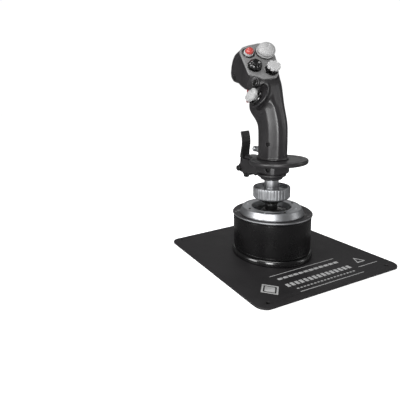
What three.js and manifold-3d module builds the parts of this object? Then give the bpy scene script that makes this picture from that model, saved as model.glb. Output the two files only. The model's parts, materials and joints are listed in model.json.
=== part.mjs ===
// Desk-top flight joystick: weighted round base on a square steel plate, a two-axis
// gimbal, a knurled collar nut, and a right-hand pistol grip with hats, buttons,
// a trigger and a front paddle.
// Millimetres. +X is the pilot's right, +Y is forward (away from the pilot), +Z is up.
// The origin is the centre of the underside.
import * as THREE from 'three';
import { mergeVertices } from 'three/addons/utils/BufferGeometryUtils.js';
import Module from 'manifold-3d';

const wasm = await Module();
wasm.setup();

// ------------------------------------------------------------ driving dimensions
const GAP = 0.3;                 // clearance between touching pieces

const PAD_SIDE = 206, PAD_T = 0.9, PAD_R = 9;
const PLATE_SIDE = 220, PLATE_Z0 = 1.2, PLATE_Z1 = 3.8, PLATE_R = 13;
const PLATE_HOLE_X = 94, PLATE_HOLE_Y = 101, PLATE_HOLE_R = 2.3;   // corner holes, distances from the centre lines
const FOOT_R = 54.2, FOOT_Z0 = PLATE_Z1 + GAP, FOOT_Z1 = 12.6;
const HOUSING_R = 51.6, HOUSING_WALL = 3.0, HOUSING_Z1 = 64.9;
const COVER_R = 52.8, COVER_Z0 = HOUSING_Z1 + GAP, COVER_Z1 = 67.4, COVER_BORE = 28.5;
const BEZEL_R0 = 42.4, BEZEL_R1 = 38.8, BEZEL_BORE = 25.8;
const BEZEL_Z0 = COVER_Z1 + GAP, BEZEL_Z1 = 75.6;
const BEZEL_SCREW_PCR = 32.3;
const PLATE_SCREW_PCR = 40;

const PIVOT_Z = 54;              // both gimbal axes cross here
const BALL_R = 20;
const POST_R = 8;
const HUB_R = 17.5, HUB_Z0 = 81, HUB_Z1 = 94.4;
const NUT_R = 24.4, NUT_Z0 = 88.4, NUT_Z1 = 105.3;
const SHAFT_R = 9.4;
const NECK_Z0 = 115.8, NECK_Z1 = 124.2;
const BLOCK_Z0 = NECK_Z1 + GAP, BLOCK_Z1 = 140.2;
const REST_Z0 = BLOCK_Z1 + GAP, REST_Z1 = 145;
const REST_C = [2.8, -8.2], REST_R = 37.2;
const GRIP_Z0 = REST_Z1 + GAP;

const PADDLE_PIVOT = [58, 124];  // Y, Z
const PADDLE_STOP = [42.6, 115.4];
const TRIGGER_PIVOT = [44, 256];

// Thumb face: a plane tilted back 38.7 degrees and turned 10 degrees to the left.
const FACE_P = new THREE.Vector3(-1, 20.4, 277.5);
const FACE_N = new THREE.Vector3(-0.136, -0.769, 0.625).normalize();
const FACE_RGT = new THREE.Vector3(0.985, -0.174, 0).normalize();
const FACE_UP = new THREE.Vector3().crossVectors(FACE_N, FACE_RGT).normalize();
const FACE_T = 3;

const TRIM_AT = [9.8, 15.6], RELEASE_AT = [-13.8, 17.2], BLACK_AT = [-14, -7.8], CASTLE_AT = [7, -17];

// Left ear of the head, which carries the thumb-side hat.
const EAR_P = new THREE.Vector3(-19.6, 8.4, 229.8);
const EAR_N = new THREE.Vector3(-0.84, 0.08, 0.53).normalize();
const EAR_C = EAR_P.clone().add(new THREE.Vector3(1.2, -4.1, 2.5));   // centre of the round boss
const MODE_P = new THREE.Vector3(-21, 9.0, 249.6);
const MODE_N = new THREE.Vector3(-0.95, -0.05, 0.3).normalize();

const NOSE_SCREW = [61.5, 261];
const GRIP_SCREW = [-7, 167];

// ------------------------------------------------------------ helpers
function clean(geo) {
  let g = geo.clone();
  for (const k of Object.keys(g.attributes)) if (k !== 'position') g.deleteAttribute(k);
  g = mergeVertices(g, 1e-4);
  const idx = g.index.array, pos = g.attributes.position.array, out = [];
  let vol = 0;
  for (let i = 0; i < idx.length; i += 3) {
    const [a, b, c] = [idx[i], idx[i + 1], idx[i + 2]];
    if (a === b || b === c || a === c) continue;
    out.push(a, b, c);
    const A = a * 3, B = b * 3, C = c * 3;
    vol += pos[A] * (pos[B + 1] * pos[C + 2] - pos[B + 2] * pos[C + 1])
      + pos[A + 1] * (pos[B + 2] * pos[C] - pos[B] * pos[C + 2])
      + pos[A + 2] * (pos[B] * pos[C + 1] - pos[B + 1] * pos[C]);
  }
  if (vol < 0) for (let i = 0; i < out.length; i += 3) [out[i + 1], out[i + 2]] = [out[i + 2], out[i + 1]];
  return { vertProperties: new Float32Array(pos), triVerts: new Uint32Array(out) };
}
const solid = (geo) => new wasm.Manifold(new wasm.Mesh({ numProp: 3, ...clean(geo) }));
const cut = (a, ...bs) => bs.reduce((s, b) => s.subtract(b), a);
const join = (a, ...bs) => bs.reduce((s, b) => s.add(b), a);
function toGeometry(m) {
  const mesh = m.getMesh();
  const g = new THREE.BufferGeometry();
  g.setAttribute('position', new THREE.BufferAttribute(new Float32Array(mesh.vertProperties), 3));
  g.setIndex(new THREE.BufferAttribute(new Uint32Array(mesh.triVerts), 1));
  g.computeVertexNormals();
  return g;
}

// Turned piece about local Z. Points are [radius, z]; the profile starts and ends on the axis, or closes on itself.
const DETAIL = 0.72;
function turned(pts, seg = 32, turn = 0) {
  seg = Math.max(8, 4 * Math.round(seg * DETAIL / 4));
  const closed = pts[0][0] > 0;
  const p = (closed ? [...pts, pts[0]] : pts).map(([r, z]) => new THREE.Vector2(r, z));
  return new THREE.LatheGeometry(p, seg).rotateX(Math.PI / 2).rotateZ(turn);
}
const disc = (r, z0, z1, seg = 16, turn = 0) => turned([[0, z0], [r, z0], [r, z1], [0, z1]], seg, turn);
const tube = (ri, ro, z0, z1, seg = 32) => turned([[ri, z0], [ro, z0], [ro, z1], [ri, z1]], seg);
function block(x0, x1, y0, y1, z0, z1) {
  return new THREE.BoxGeometry(x1 - x0, y1 - y0, z1 - z0).translate((x0 + x1) / 2, (y0 + y1) / 2, (z0 + z1) / 2);
}
function roundedSquare(side, r, seg = 4) {
  const h = side / 2, s = new THREE.Shape();
  s.moveTo(-h + r, -h); s.lineTo(h - r, -h); s.absarc(h - r, -h + r, r, -Math.PI / 2, 0);
  s.lineTo(h, h - r); s.absarc(h - r, h - r, r, 0, Math.PI / 2);
  s.lineTo(-h + r, h); s.absarc(-h + r, h - r, r, Math.PI / 2, Math.PI);
  s.lineTo(-h, -h + r); s.absarc(-h + r, -h + r, r, Math.PI, 1.5 * Math.PI);
  return s;
}
const slab = (shape, z0, z1, curveSegments = 4) =>
  new THREE.ExtrudeGeometry(shape, { depth: z1 - z0, bevelEnabled: false, curveSegments }).translate(0, 0, z0);
const poly = (pts) => new THREE.Shape(pts.map(([x, y]) => new THREE.Vector2(x, y)));
// Outline in Y,Z extruded along X from x0 to x1.
function sideProfile(pts, x0, x1, bevel = 0) {
  const g = new THREE.ExtrudeGeometry(poly(pts), {
    depth: x1 - x0 - 2 * bevel, bevelEnabled: bevel > 0, bevelSize: bevel, bevelThickness: bevel,
    bevelOffset: -bevel, bevelSegments: 2, curveSegments: 4,
  }).translate(0, 0, x0 + bevel);
  // local x -> Y, local y -> Z, local z -> X
  return g.applyMatrix4(new THREE.Matrix4().set(0, 0, 1, 0, 1, 0, 0, 0, 0, 1, 0, 0, 0, 0, 0, 1));
}
// Turns local +Z to world +X and moves the piece to (x, y, z).
const alongX = (g, y, z, x = 0) => g.rotateY(Math.PI / 2).translate(x, y, z);
const alongY = (g, x, z, y = 0) => g.rotateX(-Math.PI / 2).translate(x, y, z);
// Matrix with its origin at p and local +Z along n.
function frameAt(p, n, right = null) {
  const z = n.clone().normalize();
  const x = right ? right.clone().normalize() : new THREE.Vector3().crossVectors(new THREE.Vector3(0, 0, 1), z).normalize();
  const y = new THREE.Vector3().crossVectors(z, x);
  return new THREE.Matrix4().makeBasis(x, y, z).setPosition(p);
}
const onFace = (r, u) => FACE_P.clone().addScaledVector(FACE_RGT, r).addScaledVector(FACE_UP, u);
// Skin through stacked rings, made by moving the rings of a cylinder.
function loft(rows, ring, seg) {
  const g = new THREE.CylinderGeometry(1, 1, 1, seg, rows.length - 1, false);
  const p = g.attributes.position;
  for (let i = 0; i < p.count; i++) {
    const x = p.getX(i), y = p.getY(i), z = p.getZ(i);
    const row = rows[Math.round((0.5 - y) * (rows.length - 1))];
    const rad = Math.hypot(x, z), th = Math.atan2(x, z);
    const k = Math.round(th / (2 * Math.PI) * seg) / seg * 2 * Math.PI;
    const q = rad < 1e-6 ? ring(row, 0, true) : ring(row, k, false);
    p.setXYZ(i, q[0], q[1], q[2]);
  }
  return g;
}
// One horizontal ring of the grip: [z, back Y, front Y, half width].
function gripRing([z, yb, yf, a], th, centre, off = 0) {
  const cy = (yb + yf) / 2, b = (yf - yb) / 2 - off, w = a - off, e = 2 / 2.5;
  if (centre) return [0, cy, z];
  const c = Math.cos(th), s = Math.sin(th);
  return [w * Math.sign(s) * Math.abs(s) ** e, cy + b * Math.sign(c) * Math.abs(c) ** e, z];
}

const paint = (color, roughness = 0.5, metalness = 0) => new THREE.MeshStandardMaterial({ color, roughness, metalness });
const root = new THREE.Group();
const stick = new THREE.Group();
root.add(stick);
function add(name, shape, material, parent = root) {
  const geo = shape.isBufferGeometry ? shape : toGeometry(shape);
  const mesh = new THREE.Mesh(geo, material);
  mesh.name = name;
  parent.add(mesh);
  return mesh;
}
function groupAt(matrix, parent = stick) {
  const g = new THREE.Group();
  matrix.decompose(g.position, g.quaternion, g.scale);
  parent.add(g);
  return g;
}
const quarter = (k, off = Math.PI / 4) => off + k * Math.PI / 2;

// ------------------------------------------------------------ base
add('non_slip_pad', slab(roundedSquare(PAD_SIDE, PAD_R), 0, PAD_T, 3), paint(0x161616, 0.95));

let plate = solid(slab(roundedSquare(PLATE_SIDE, PLATE_R), PLATE_Z0, PLATE_Z1, 4));
for (const sx of [-1, 1]) for (const sy of [-1, 1])
  plate = cut(plate, solid(disc(PLATE_HOLE_R, 0, 6, 12).translate(sx * PLATE_HOLE_X, sy * PLATE_HOLE_Y, 0)));
for (let k = 0; k < 4; k++) {
  const a = quarter(k), x = PLATE_SCREW_PCR * Math.cos(a), y = PLATE_SCREW_PCR * Math.sin(a);
  plate = cut(plate, solid(turned([[0, 0], [4.3, 0], [4.3, 2.7], [2.3, 2.7], [2.3, 6], [0, 6]], 12).translate(x, y, 0)));
}
add('mount_plate', plate, paint(0x26272a, 0.55, 0.3));

let foot = solid(turned([[0, FOOT_Z0], [FOOT_R - 0.6, FOOT_Z0], [FOOT_R, FOOT_Z0 + 0.6], [FOOT_R, FOOT_Z1 - 1],
  [FOOT_R - 1, FOOT_Z1], [46.5, FOOT_Z1], [46.5, 8.2], [0, 8.2]], 40));
for (let k = 0; k < 4; k++) {
  const a = quarter(k);
  foot = cut(foot, solid(disc(2.3, 0, 12, 12).translate(PLATE_SCREW_PCR * Math.cos(a), PLATE_SCREW_PCR * Math.sin(a), 0)));
}
add('base_foot_ring', foot, paint(0x1b1c1e, 0.45, 0.3));

for (let k = 0; k < 4; k++) {
  const a = quarter(k);
  add(`plate_screw_${k + 1}`, turned([[0, 1.3], [4, 1.3], [4, 2.4], [2, 2.4], [2, 7.8], [0, 7.8]], 12)
    .translate(PLATE_SCREW_PCR * Math.cos(a), PLATE_SCREW_PCR * Math.sin(a), 0), paint(0x8a8d90, 0.35, 0.9));
}

const GLAND_Z = 24;
let housing = solid(tube(HOUSING_R - HOUSING_WALL, HOUSING_R, FOOT_Z1 + GAP, HOUSING_Z1, 40));
housing = cut(housing, solid(alongY(disc(5.3, 0, 20, 16), 0, GLAND_Z, 42)));
add('base_housing', housing, paint(0x151617, 0.38, 0.3));

add('cable_gland', alongY(turned([[2.3, 0], [7.2, 0], [7.2, 1.6], [5, 1.6], [5, 6.3], [7.2, 6.3], [7.2, 8.2], [5.6, 9.4], [2.3, 9.4]], 16),
  0, GLAND_Z, 45.6), paint(0x101010, 0.7));

add('top_cover', turned([[COVER_BORE, COVER_Z0], [COVER_R - 0.5, COVER_Z0], [COVER_R, COVER_Z0 + 0.5], [COVER_R, COVER_Z1 - 0.6],
  [COVER_R - 0.6, COVER_Z1], [COVER_BORE, COVER_Z1]], 40), paint(0x3a3b3d, 0.45, 0.4));

let bezel = solid(turned([[BEZEL_BORE, BEZEL_Z0], [BEZEL_R0, BEZEL_Z0], [BEZEL_R0, BEZEL_Z0 + 1.2], [BEZEL_R1, BEZEL_Z1 - 0.6],
  [BEZEL_R1 - 0.7, BEZEL_Z1], [BEZEL_BORE + 1, BEZEL_Z1], [BEZEL_BORE, BEZEL_Z1 - 1]], 40));
for (let k = 0; k < 4; k++) {
  const a = quarter(k, 0.6), x = BEZEL_SCREW_PCR * Math.cos(a), y = BEZEL_SCREW_PCR * Math.sin(a);
  bezel = cut(bezel, solid(turned([[0, 60], [1.6, 60], [1.6, 73.9], [2.6, 73.9], [2.6, 80], [0, 80]], 10).translate(x, y, 0)));
}
add('bezel_ring', bezel, paint(0xb9bcbe, 0.3, 0.95));
for (let k = 0; k < 4; k++) {
  const a = quarter(k, 0.6);
  add(`bezel_screw_${k + 1}`, turned([[0, 68], [1.3, 68], [1.3, 74.2], [2.2, 74.2], [2.2, 75.5], [0, 75.5]], 10)
    .translate(BEZEL_SCREW_PCR * Math.cos(a), BEZEL_SCREW_PCR * Math.sin(a), 0), paint(0xd0d2d4, 0.25, 1));
}

// Socket ring under the cover: carries the gimbal ring's pins, which lie along X.
let socket = solid(tube(33, 40, 46, COVER_Z0 - GAP, 28));
socket = cut(socket, solid(alongX(disc(3.4, -50, 50, 12), 0, PIVOT_Z)));
add('gimbal_socket', socket, paint(0x77797b, 0.5, 0.6));

// Gimbal ring: turns about X in the socket, and holds the ball's pins along Y.
let ring = solid(tube(22.5, 29, PIVOT_Z - 5, PIVOT_Z + 5, 24));
ring = join(ring, solid(alongX(disc(3, 27, 38, 12), 0, PIVOT_Z)), solid(alongX(disc(3, -38, -27, 12), 0, PIVOT_Z)));
ring = cut(ring, solid(alongY(disc(3.4, -40, 40, 12), 0, PIVOT_Z)));
add('gimbal_ring', ring, paint(0x9a9c9e, 0.4, 0.8));

add('sensor_pillar', turned([[0, 8.5], [5, 8.5], [5, 10], [3, 10], [3, 28.5], [9, 28.5], [9, 30], [0, 30]], 16), paint(0x1e3d2a, 0.6));
add('hall_sensor', block(-3, 3, -3, 3, 30.3, 32), paint(0x0e0e0e, 0.5));
add('main_board', block(-22, 22, 24, 40, 12.4, 14), paint(0x1e4a2e, 0.55));

// Centring spring and its pressure plate, drawn at the installed length.
{
  const turns = 4.5, R = 17.5, w = 1.5, z0 = 10.2, z1 = 28.4;
  class Coil extends THREE.Curve {
    getPoint(t, v = new THREE.Vector3()) {
      const a = t * turns * 2 * Math.PI;
      return v.set(R * Math.cos(a), R * Math.sin(a), z0 + (z1 - z0) * t);
    }
  }
  const n = 5, sec = new THREE.Shape([...Array(n)].map((_, i) => new THREE.Vector2(w * Math.cos(i / n * 2 * Math.PI), w * Math.sin(i / n * 2 * Math.PI))));
  add('centering_spring', new THREE.ExtrudeGeometry(sec, { steps: 40, extrudePath: new Coil(), bevelEnabled: false }), paint(0xa8abad, 0.3, 1));
}
add('spring_plate', tube(12, 21, 30.4, 32.4, 24), paint(0x8d8f91, 0.4, 0.9));

// ------------------------------------------------------------ stick: lower part
let ball = solid(turned([[0, PIVOT_Z - 12], [16, PIVOT_Z - 12], ...[-24, -8, 8, 24, 40, 54, 63].map((d) =>
  [BALL_R * Math.cos(d * Math.PI / 180), PIVOT_Z + BALL_R * Math.sin(d * Math.PI / 180)]), [0, PIVOT_Z + BALL_R * Math.sin(63 * Math.PI / 180)]], 24));
ball = join(ball, solid(alongY(disc(3, -28.5, 28.5, 12), 0, PIVOT_Z)));
ball = cut(ball, solid(disc(POST_R + GAP, 46, 90, 16)), solid(disc(4.3, 30, 44, 12)));
add('gimbal_ball', ball, paint(0x0d0d0e, 0.3), stick);
add('sensor_magnet', disc(4, 42.2, 43.7, 12), paint(0x9fa1a3, 0.3, 1), stick);
add('stick_post', disc(POST_R, 46.3, 88, 16), paint(0xa9acae, 0.3, 0.95), stick);
add('thread_hub', turned([[POST_R + GAP, HUB_Z0], [10.5, HUB_Z0], [HUB_R, 86], [HUB_R, HUB_Z1], [POST_R + GAP, HUB_Z1]], 24), paint(0xb0b2b4, 0.35, 0.95), stick);

// Collar nut: fluted outside, a web that traps the shaft's flange, an open dish on top.
{
  const n = 22, rows = [[NUT_Z0, 22.4, 0], [NUT_Z0 + 1.2, 23.7, 0], [NUT_Z0 + 2.2, NUT_R, 1], [NUT_Z1 - 1.2, NUT_R, 1], [NUT_Z1, NUT_R - 0.8, 0]];
  const skin = loft([...rows].reverse(), ([z, r, f], th, c) => {
    if (c) return [0, 0, z];
    const k = Math.round(th / (2 * Math.PI) * 2 * n), rr = r - (f && (k & 1) ? 0.75 : 0);
    return [rr * Math.sin(th), rr * Math.cos(th), z];
  }, 2 * n);
  let nut = solid(skin);
  nut = cut(nut, solid(turned([[0, 80], [HUB_R + GAP, 80], [HUB_R + GAP, 98], [SHAFT_R + 0.4, 98], [SHAFT_R + 0.4, 100.6], [22, 100.6], [22, 110], [0, 110]], 28)));
  add('collar_nut', nut, paint(0xb4b7b9, 0.3, 0.95), stick);
}
add('grip_shaft', turned([[0, HUB_Z1 + GAP], [HUB_R - 0.5, HUB_Z1 + GAP], [HUB_R - 0.5, 97.6], [SHAFT_R, 97.6], [SHAFT_R, NECK_Z1 - 1], [0, NECK_Z1 - 1]], 24), paint(0xc4c6c8, 0.2, 1), stick);

// ------------------------------------------------------------ neck and hand rest
const neckRing = cut(solid(turned([[SHAFT_R + GAP, NECK_Z0], [13, NECK_Z0], [14.4, NECK_Z0 + 1.4], [14.6, NECK_Z0 + 3.4], [18, NECK_Z0 + 4.8], [18.8, NECK_Z0 + 6], [18.8, NECK_Z1], [0, NECK_Z1], [0, NECK_Z1 - 0.7], [SHAFT_R + GAP, NECK_Z1 - 0.7]], 24)), solid(slab(poly([[-30, 16.6], [30, 16.6], [30, 40], [-30, 40]]), NECK_Z0 + 3.4, NECK_Z1 + 1)));
add('neck_ring', neckRing, paint(0x2b2b2d, 0.5), stick);

let neck = solid(slab(poly([[-17, -16.5], [-13.5, -20], [8, -20], [14.5, -17], [17.5, -11], [17.5, 8], [14.5, 14], [10, 16.7], [-13, 16.7], [-17, 13]]), BLOCK_Z0, BLOCK_Z1));
neck = cut(neck, solid(alongX(turned([[0, -20], [3.5, -20], [3.5, 4.6], [2.3, 4.6], [2.3, 14], [0, 14]], 14), -10.6, 133.6, -17)));
add('neck_block', neck, paint(0x2e2e30, 0.5), stick);
add('neck_screw', alongX(turned([[0, 1.6], [3.1, 1.6], [3.1, 4.3], [2, 4.3], [2, 13.6], [0, 13.6]], 12), -10.6, 133.6, -17), paint(0x2a2a2c, 0.4, 0.8), stick);

let rest = solid(turned([[0, REST_Z0], [REST_R - 2, REST_Z0], [REST_R - 0.5, REST_Z0 + 1], [REST_R, REST_Z0 + 2.2], [REST_R - 0.5, REST_Z1 - 1], [REST_R - 2, REST_Z1], [0, REST_Z1]], 36).translate(REST_C[0], REST_C[1], 0));
rest = join(rest, solid(slab(poly([[-9.5, 15], [9.5, 15], [9.5, 46], [6, 49.5], [-6, 49.5], [-9.5, 46]]), REST_Z0, REST_Z1)));
const lip = cut(solid(turned([[REST_R - 5.2, REST_Z0 - 1.6], [REST_R - 1, REST_Z0 - 1.6], [REST_R, REST_Z0 - 0.4], [REST_R, REST_Z0 + 2.2], [REST_R - 5.2, REST_Z0 + 2.2]], 36).translate(REST_C[0], REST_C[1], 0)),
  solid(slab(poly([[-50, 12], [50, 12], [50, 60], [-50, 60]]), REST_Z0 - 5, REST_Z0 + 5)));
add('hand_rest', join(rest, lip), paint(0x2d2d2f, 0.45), stick);

// ------------------------------------------------------------ grip halves
const GRIP_ROWS = [
  [GRIP_Z0, -20.8, 19.6, 14.6], [168, -21.2, 19.5, 14.4], [185, -20.8, 19.7, 14.4], [193, -20, 20.8, 14.5],
  [200, -18.7, 25.5, 14.7], [207, -17, 33, 15], [213, -15.3, 38, 15.4], [220, -13, 38.6, 16], [228, -10.5, 36, 16.8],
  [236, -8, 34, 17.6], [246, -4.6, 34.5, 18.6], [254, 0, 36, 19.4], [262, 6, 40, 19.4],
];
const gripSkin = loft([...GRIP_ROWS].reverse(), (r, th, c) => gripRing(r, th, c), 16);
const CORE_ROWS = [[GRIP_Z0 - 5, ...GRIP_ROWS[0].slice(1)], ...GRIP_ROWS.filter((_, i) => [2, 4, 8, 10].includes(i)), [268, 14, 34, 18]];
const gripCore = loft([...CORE_ROWS].reverse(), (r, th, c) => gripRing([r[0], r[1], Math.min(r[2], 36), r[3]], th, c, 3), 12);

const headSide = [[1, 251], [41.5, 304.2], [45, 302.6], [50, 299.6], [58.5, 294.6], [66, 287.2], [70.4, 278.6], [72.6, 268.6],
  [71, 261.4], [64.8, 255.4], [57, 253.2], [50.4, 252], [41.5, 247], [30, 242], [8, 244]];
// Rounded block: the outline shrinks towards its middle near the two sides. Rows are [x, scale].
const HEAD_ROWS = [[-24.6, 0.58], [-23, 0.7], [-19, 0.86], [-13.5, 1], [11, 1], [16.5, 0.86], [20.5, 0.72], [22, 0.62]];
const head = solid(loft(HEAD_ROWS, ([x, k], th, c) => {
  const [cy, cz] = [22, 279];
  if (c) return [x, cy, cz];
  const q = headSide[((Math.round(th / (2 * Math.PI) * headSide.length) % headSide.length) + headSide.length) % headSide.length];
  return [x, cy + k * (q[0] - cy), cz + k * (q[1] - cz)];
}, headSide.length));
const earCyl = solid(turned([[0, -20], [17, -20], [17, -1.2], [16, 0], [0, 0]], 28).applyMatrix4(frameAt(EAR_C, EAR_N)));
const modeBoss = solid(turned([[0, -16], [10.5, -16], [10, -1], [9, 0], [0, 0]], 16).applyMatrix4(frameAt(MODE_P, MODE_N)));

let grip = join(solid(gripSkin), head, earCyl, modeBoss);
grip = cut(grip, solid(disc(12.6, 0, 24, 28).applyMatrix4(frameAt(EAR_P, EAR_N))));   // flat seat of the ear
// Flat seat for the face plate.
const faceFrame = frameAt(FACE_P, FACE_N, FACE_RGT);
grip = cut(grip, solid(block(-60, 60, -60, 60, -FACE_T - GAP, 80).applyMatrix4(faceFrame)));
grip = cut(grip, solid(gripCore));
// Screw bosses across the hollow.
const GRIP_BOSS = join(solid(alongX(disc(4.6, -12.6, 12.6, 12), GRIP_SCREW[0], GRIP_SCREW[1])));
grip = join(grip, GRIP_BOSS);
for (const [y, z, xh] of [[GRIP_SCREW[0], GRIP_SCREW[1], -10.6], [NOSE_SCREW[0], NOSE_SCREW[1], -14]])
  grip = cut(grip, solid(alongX(turned([[0, -40], [2.9, -40], [2.9, xh], [1.6, xh], [1.6, 8.4], [0, 8.4]], 12), y, z)));
// Holes under the face plate for the hats and the release button, and in the ear.
const boreAt = (m, r, z0, z1, seg = 14) => solid(disc(r, z0, z1, seg).applyMatrix4(m));
const frames = {};
for (const [k, at] of Object.entries({ trim: TRIM_AT, release: RELEASE_AT, black: BLACK_AT, castle: CASTLE_AT }))
  frames[k] = frameAt(onFace(...at), FACE_N, FACE_RGT);
frames.side = frameAt(EAR_P, EAR_N);
frames.mode = frameAt(MODE_P, MODE_N);
grip = cut(grip, boreAt(frames.trim, 7, -14, 2), boreAt(frames.release, 6, -14, 2), boreAt(frames.black, 6.4, -14, 2),
  boreAt(frames.castle, 6.4, -14, 2), boreAt(frames.side, 6.4, -13, 4), boreAt(frames.mode, 4.5, -7, 4, 14));
// Trigger slot and pin hole, pinky button bore.
grip = cut(grip, solid(block(-5.5, 5.5, 37.5, 52.5, 238, 264)), solid(alongX(disc(1.8, -12.3, 12.3, 10), ...TRIGGER_PIVOT)));
const PINKY_Z = 155.7;
grip = cut(grip, solid(alongY(disc(4.9, 10, 40, 14), 0, PINKY_Z)));

const leftHalf = cut(grip, solid(block(-0.15, 60, -60, 100, 100, 330)));
const rightHalf = cut(grip, solid(block(-60, 0.15, -60, 100, 100, 330)));
add('grip_left_half', leftHalf, paint(0x2f2f31, 0.5), stick);
add('grip_right_half', rightHalf, paint(0x2f2f31, 0.5), stick);

const screwX = (xh, xe) => [[0, xh], [2.5, xh], [2.5, xh + 1.8], [1.3, xh + 1.8], [1.3, xe], [0, xe]];
add('grip_screw', alongX(turned(screwX(-12.7, 8), 10), ...GRIP_SCREW), paint(0x1d1d1e, 0.4, 0.8), stick);
add('nose_screw', alongX(turned(screwX(-16.1, 8), 10), ...NOSE_SCREW), paint(0x1d1d1e, 0.4, 0.8), stick);
add('grip_board', block(-0.8, 0.8, -7, 8, 176, 219), paint(0x1e4a2e, 0.55), stick);

// ------------------------------------------------------------ thumb face
{
  const pts = [[-24.6, 22.6], [-18.9, 29.2], [-9.4, 32], [6.6, 34.6], [17, 33.5], [22.4, 27], [23, 8], [20.6, -9.3], [16.2, -23.5],
    [10.4, -30], [-7.3, -30.2], [-14.6, -23.6], [-25, -18.8]];
  let face = solid(slab(poly(pts), -FACE_T, 0));
  const at = (p, r) => solid(disc(r, -6, 4, 16).translate(p[0], p[1], 0));
  face = cut(face, at(TRIM_AT, 7), at(RELEASE_AT, 8.2), at(BLACK_AT, 6.4), at(CASTLE_AT, 6.4));
  add('face_plate', face, paint(0x7c7d80, 0.5), groupAt(faceFrame));
}

const hatGroup = (k) => groupAt(frames[k]);
const yoke = (z) => turned([[3.4, z - 1], [5.6, z - 1], [5.6, z + 1], [3.4, z + 1]], 12);

// Trim hat: pale dome over a stepped skirt ring.
const trimG = hatGroup('trim');
add('trim_hat_skirt', turned([[7.4, 0.3], [13.4, 0.3], [13.4, 1.2], [12.4, 2], [7.4, 2]], 20), paint(0x8a8b8c, 0.5), trimG);
add('trim_hat_yoke', yoke(-5), paint(0x888a8c, 0.5, 0.6), trimG);
add('trim_hat', turned([[0, -7.5], [2.8, -7.5], [2.8, 4.6], [12.3, 4.6], [12.3, 6], [11.3, 8.4], [8.9, 10.7], [5.4, 12], [2.6, 12.3], [1.5, 11.8], [0, 11.6]], 20), paint(0xc9c9ca, 0.55), trimG);

// Black hat: glossy ribbed dome.
const blackG = hatGroup('black');
add('black_hat_yoke', yoke(-5), paint(0x888a8c, 0.5, 0.6), blackG);
add('black_hat', turned([[0, -7.5], [2.8, -7.5], [2.8, 2.6], [8.9, 2.6], [9.3, 3.6], [9, 5.4], [7.4, 7.4], [4.6, 8.4], [0, 8.6]], 18), paint(0x0c0c0d, 0.15), blackG);

// Castle hat: notched disc on a tapered cup.
const castleG = hatGroup('castle');
add('castle_hat_yoke', yoke(-5), paint(0x888a8c, 0.5, 0.6), castleG);
{
  let c = solid(turned([[0, -7.5], [2.8, -7.5], [2.8, 1.4], [5.8, 1.4], [7.6, 6.2], [8.8, 6.7], [8.8, 9.6], [8.2, 10.2], [0, 10.2]], 24));
  for (let k = 0; k < 8; k++)
    c = cut(c, solid(block(-1.3, 1.3, 7.3, 10, 6.5, 12).rotateZ(k * Math.PI / 4)));
  add('castle_hat', c, paint(0x9d9ea0, 0.5), castleG);
}

// Thumb-side hat on the ear: pale notched cap, push plunger, black collar.
const sideG = hatGroup('side');
add('side_hat_collar', turned([[6.7, 0.3], [10.2, 0.3], [10.2, 2.6], [9.4, 3.6], [6.7, 3.6]], 18), paint(0x101011, 0.35), sideG);
add('side_hat_plunger', turned([[0, -9.5], [3.6, -9.5], [3.6, -7.9], [0, -7.9]], 12), paint(0x888a8c, 0.5, 0.6), sideG);
add('side_hat_yoke', yoke(-3.6), paint(0x888a8c, 0.5, 0.6), sideG);
{
  let c = solid(turned([[0, -7.4], [2.8, -7.4], [2.8, 2], [4.8, 2], [4.8, 6.6], [8.2, 6.6], [9.6, 7.8], [9.6, 10.6], [8.5, 12], [0, 12]], 20));
  c = join(c, solid(turned([[0, 11], [4.2, 11], [3.8, 14], [0, 14]], 12)));
  for (let k = 0; k < 6; k++) c = cut(c, solid(block(-0.9, 0.9, 7.4, 10, 9.6, 13).rotateZ(k * Math.PI / 3 + 0.3)));
  add('side_hat', c, paint(0xc6c7c8, 0.4), sideG);
}

// Release button in its recess, and the oval mode button above the ear.
const relG = hatGroup('release');
add('release_collar', turned([[5.9, -2.6], [7.2, -2.6], [7.2, 2], [6.7, 2.8], [5.9, 2.8]], 16), paint(0x5c5d5f, 0.5), relG);
add('release_button', turned([[0, -5.2], [5.6, -5.2], [5.6, 4.8], [4.9, 6.5], [3, 7.7], [0, 8.1]], 16), paint(0xc03028, 0.35), relG);
add('mode_button', turned([[0, -5], [4.2, -5], [4.2, 0.8], [3.5, 1.5], [0, 1.5]], 12), paint(0x0b0b0c, 0.4), hatGroup('mode'));

// ------------------------------------------------------------ trigger, pinky button
let trigger = solid(sideProfile([[41, 259], [47.5, 259], [49, 254], [48, 249], [46.9, 243], [46.6, 236], [47.6, 229], [48.6, 224.6], [47.2, 223],
  [44.6, 224.4], [42.2, 229], [41, 236], [41, 243], [41, 250]], -5, 5, 1));
trigger = cut(trigger, solid(alongX(disc(1.8, -10, 10, 12), ...TRIGGER_PIVOT)));
add('trigger', trigger, paint(0x8e1f1c, 0.4), stick);
add('trigger_pin', alongX(disc(1.5, -12, 12, 12), ...TRIGGER_PIVOT), paint(0xa0a2a4, 0.3, 1), stick);

add('pinky_sleeve', alongY(turned([[2.8, 15.4], [4.6, 15.4], [4.6, 20], [5.6, 20.4], [5.6, 23.4], [4.6, 24.4], [4.6, 28.4], [2.8, 28.4]], 16), 0, PINKY_Z), paint(0x121213, 0.5), stick);
add('pinky_button', alongY(turned([[0, 17], [2.4, 17], [2.4, 31.2], [4, 31.2], [4.3, 32], [4.3, 34.8], [3.6, 35.6], [0, 35.6]], 16), 0, PINKY_Z), paint(0xc8cacb, 0.25, 0.9), stick);

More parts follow.
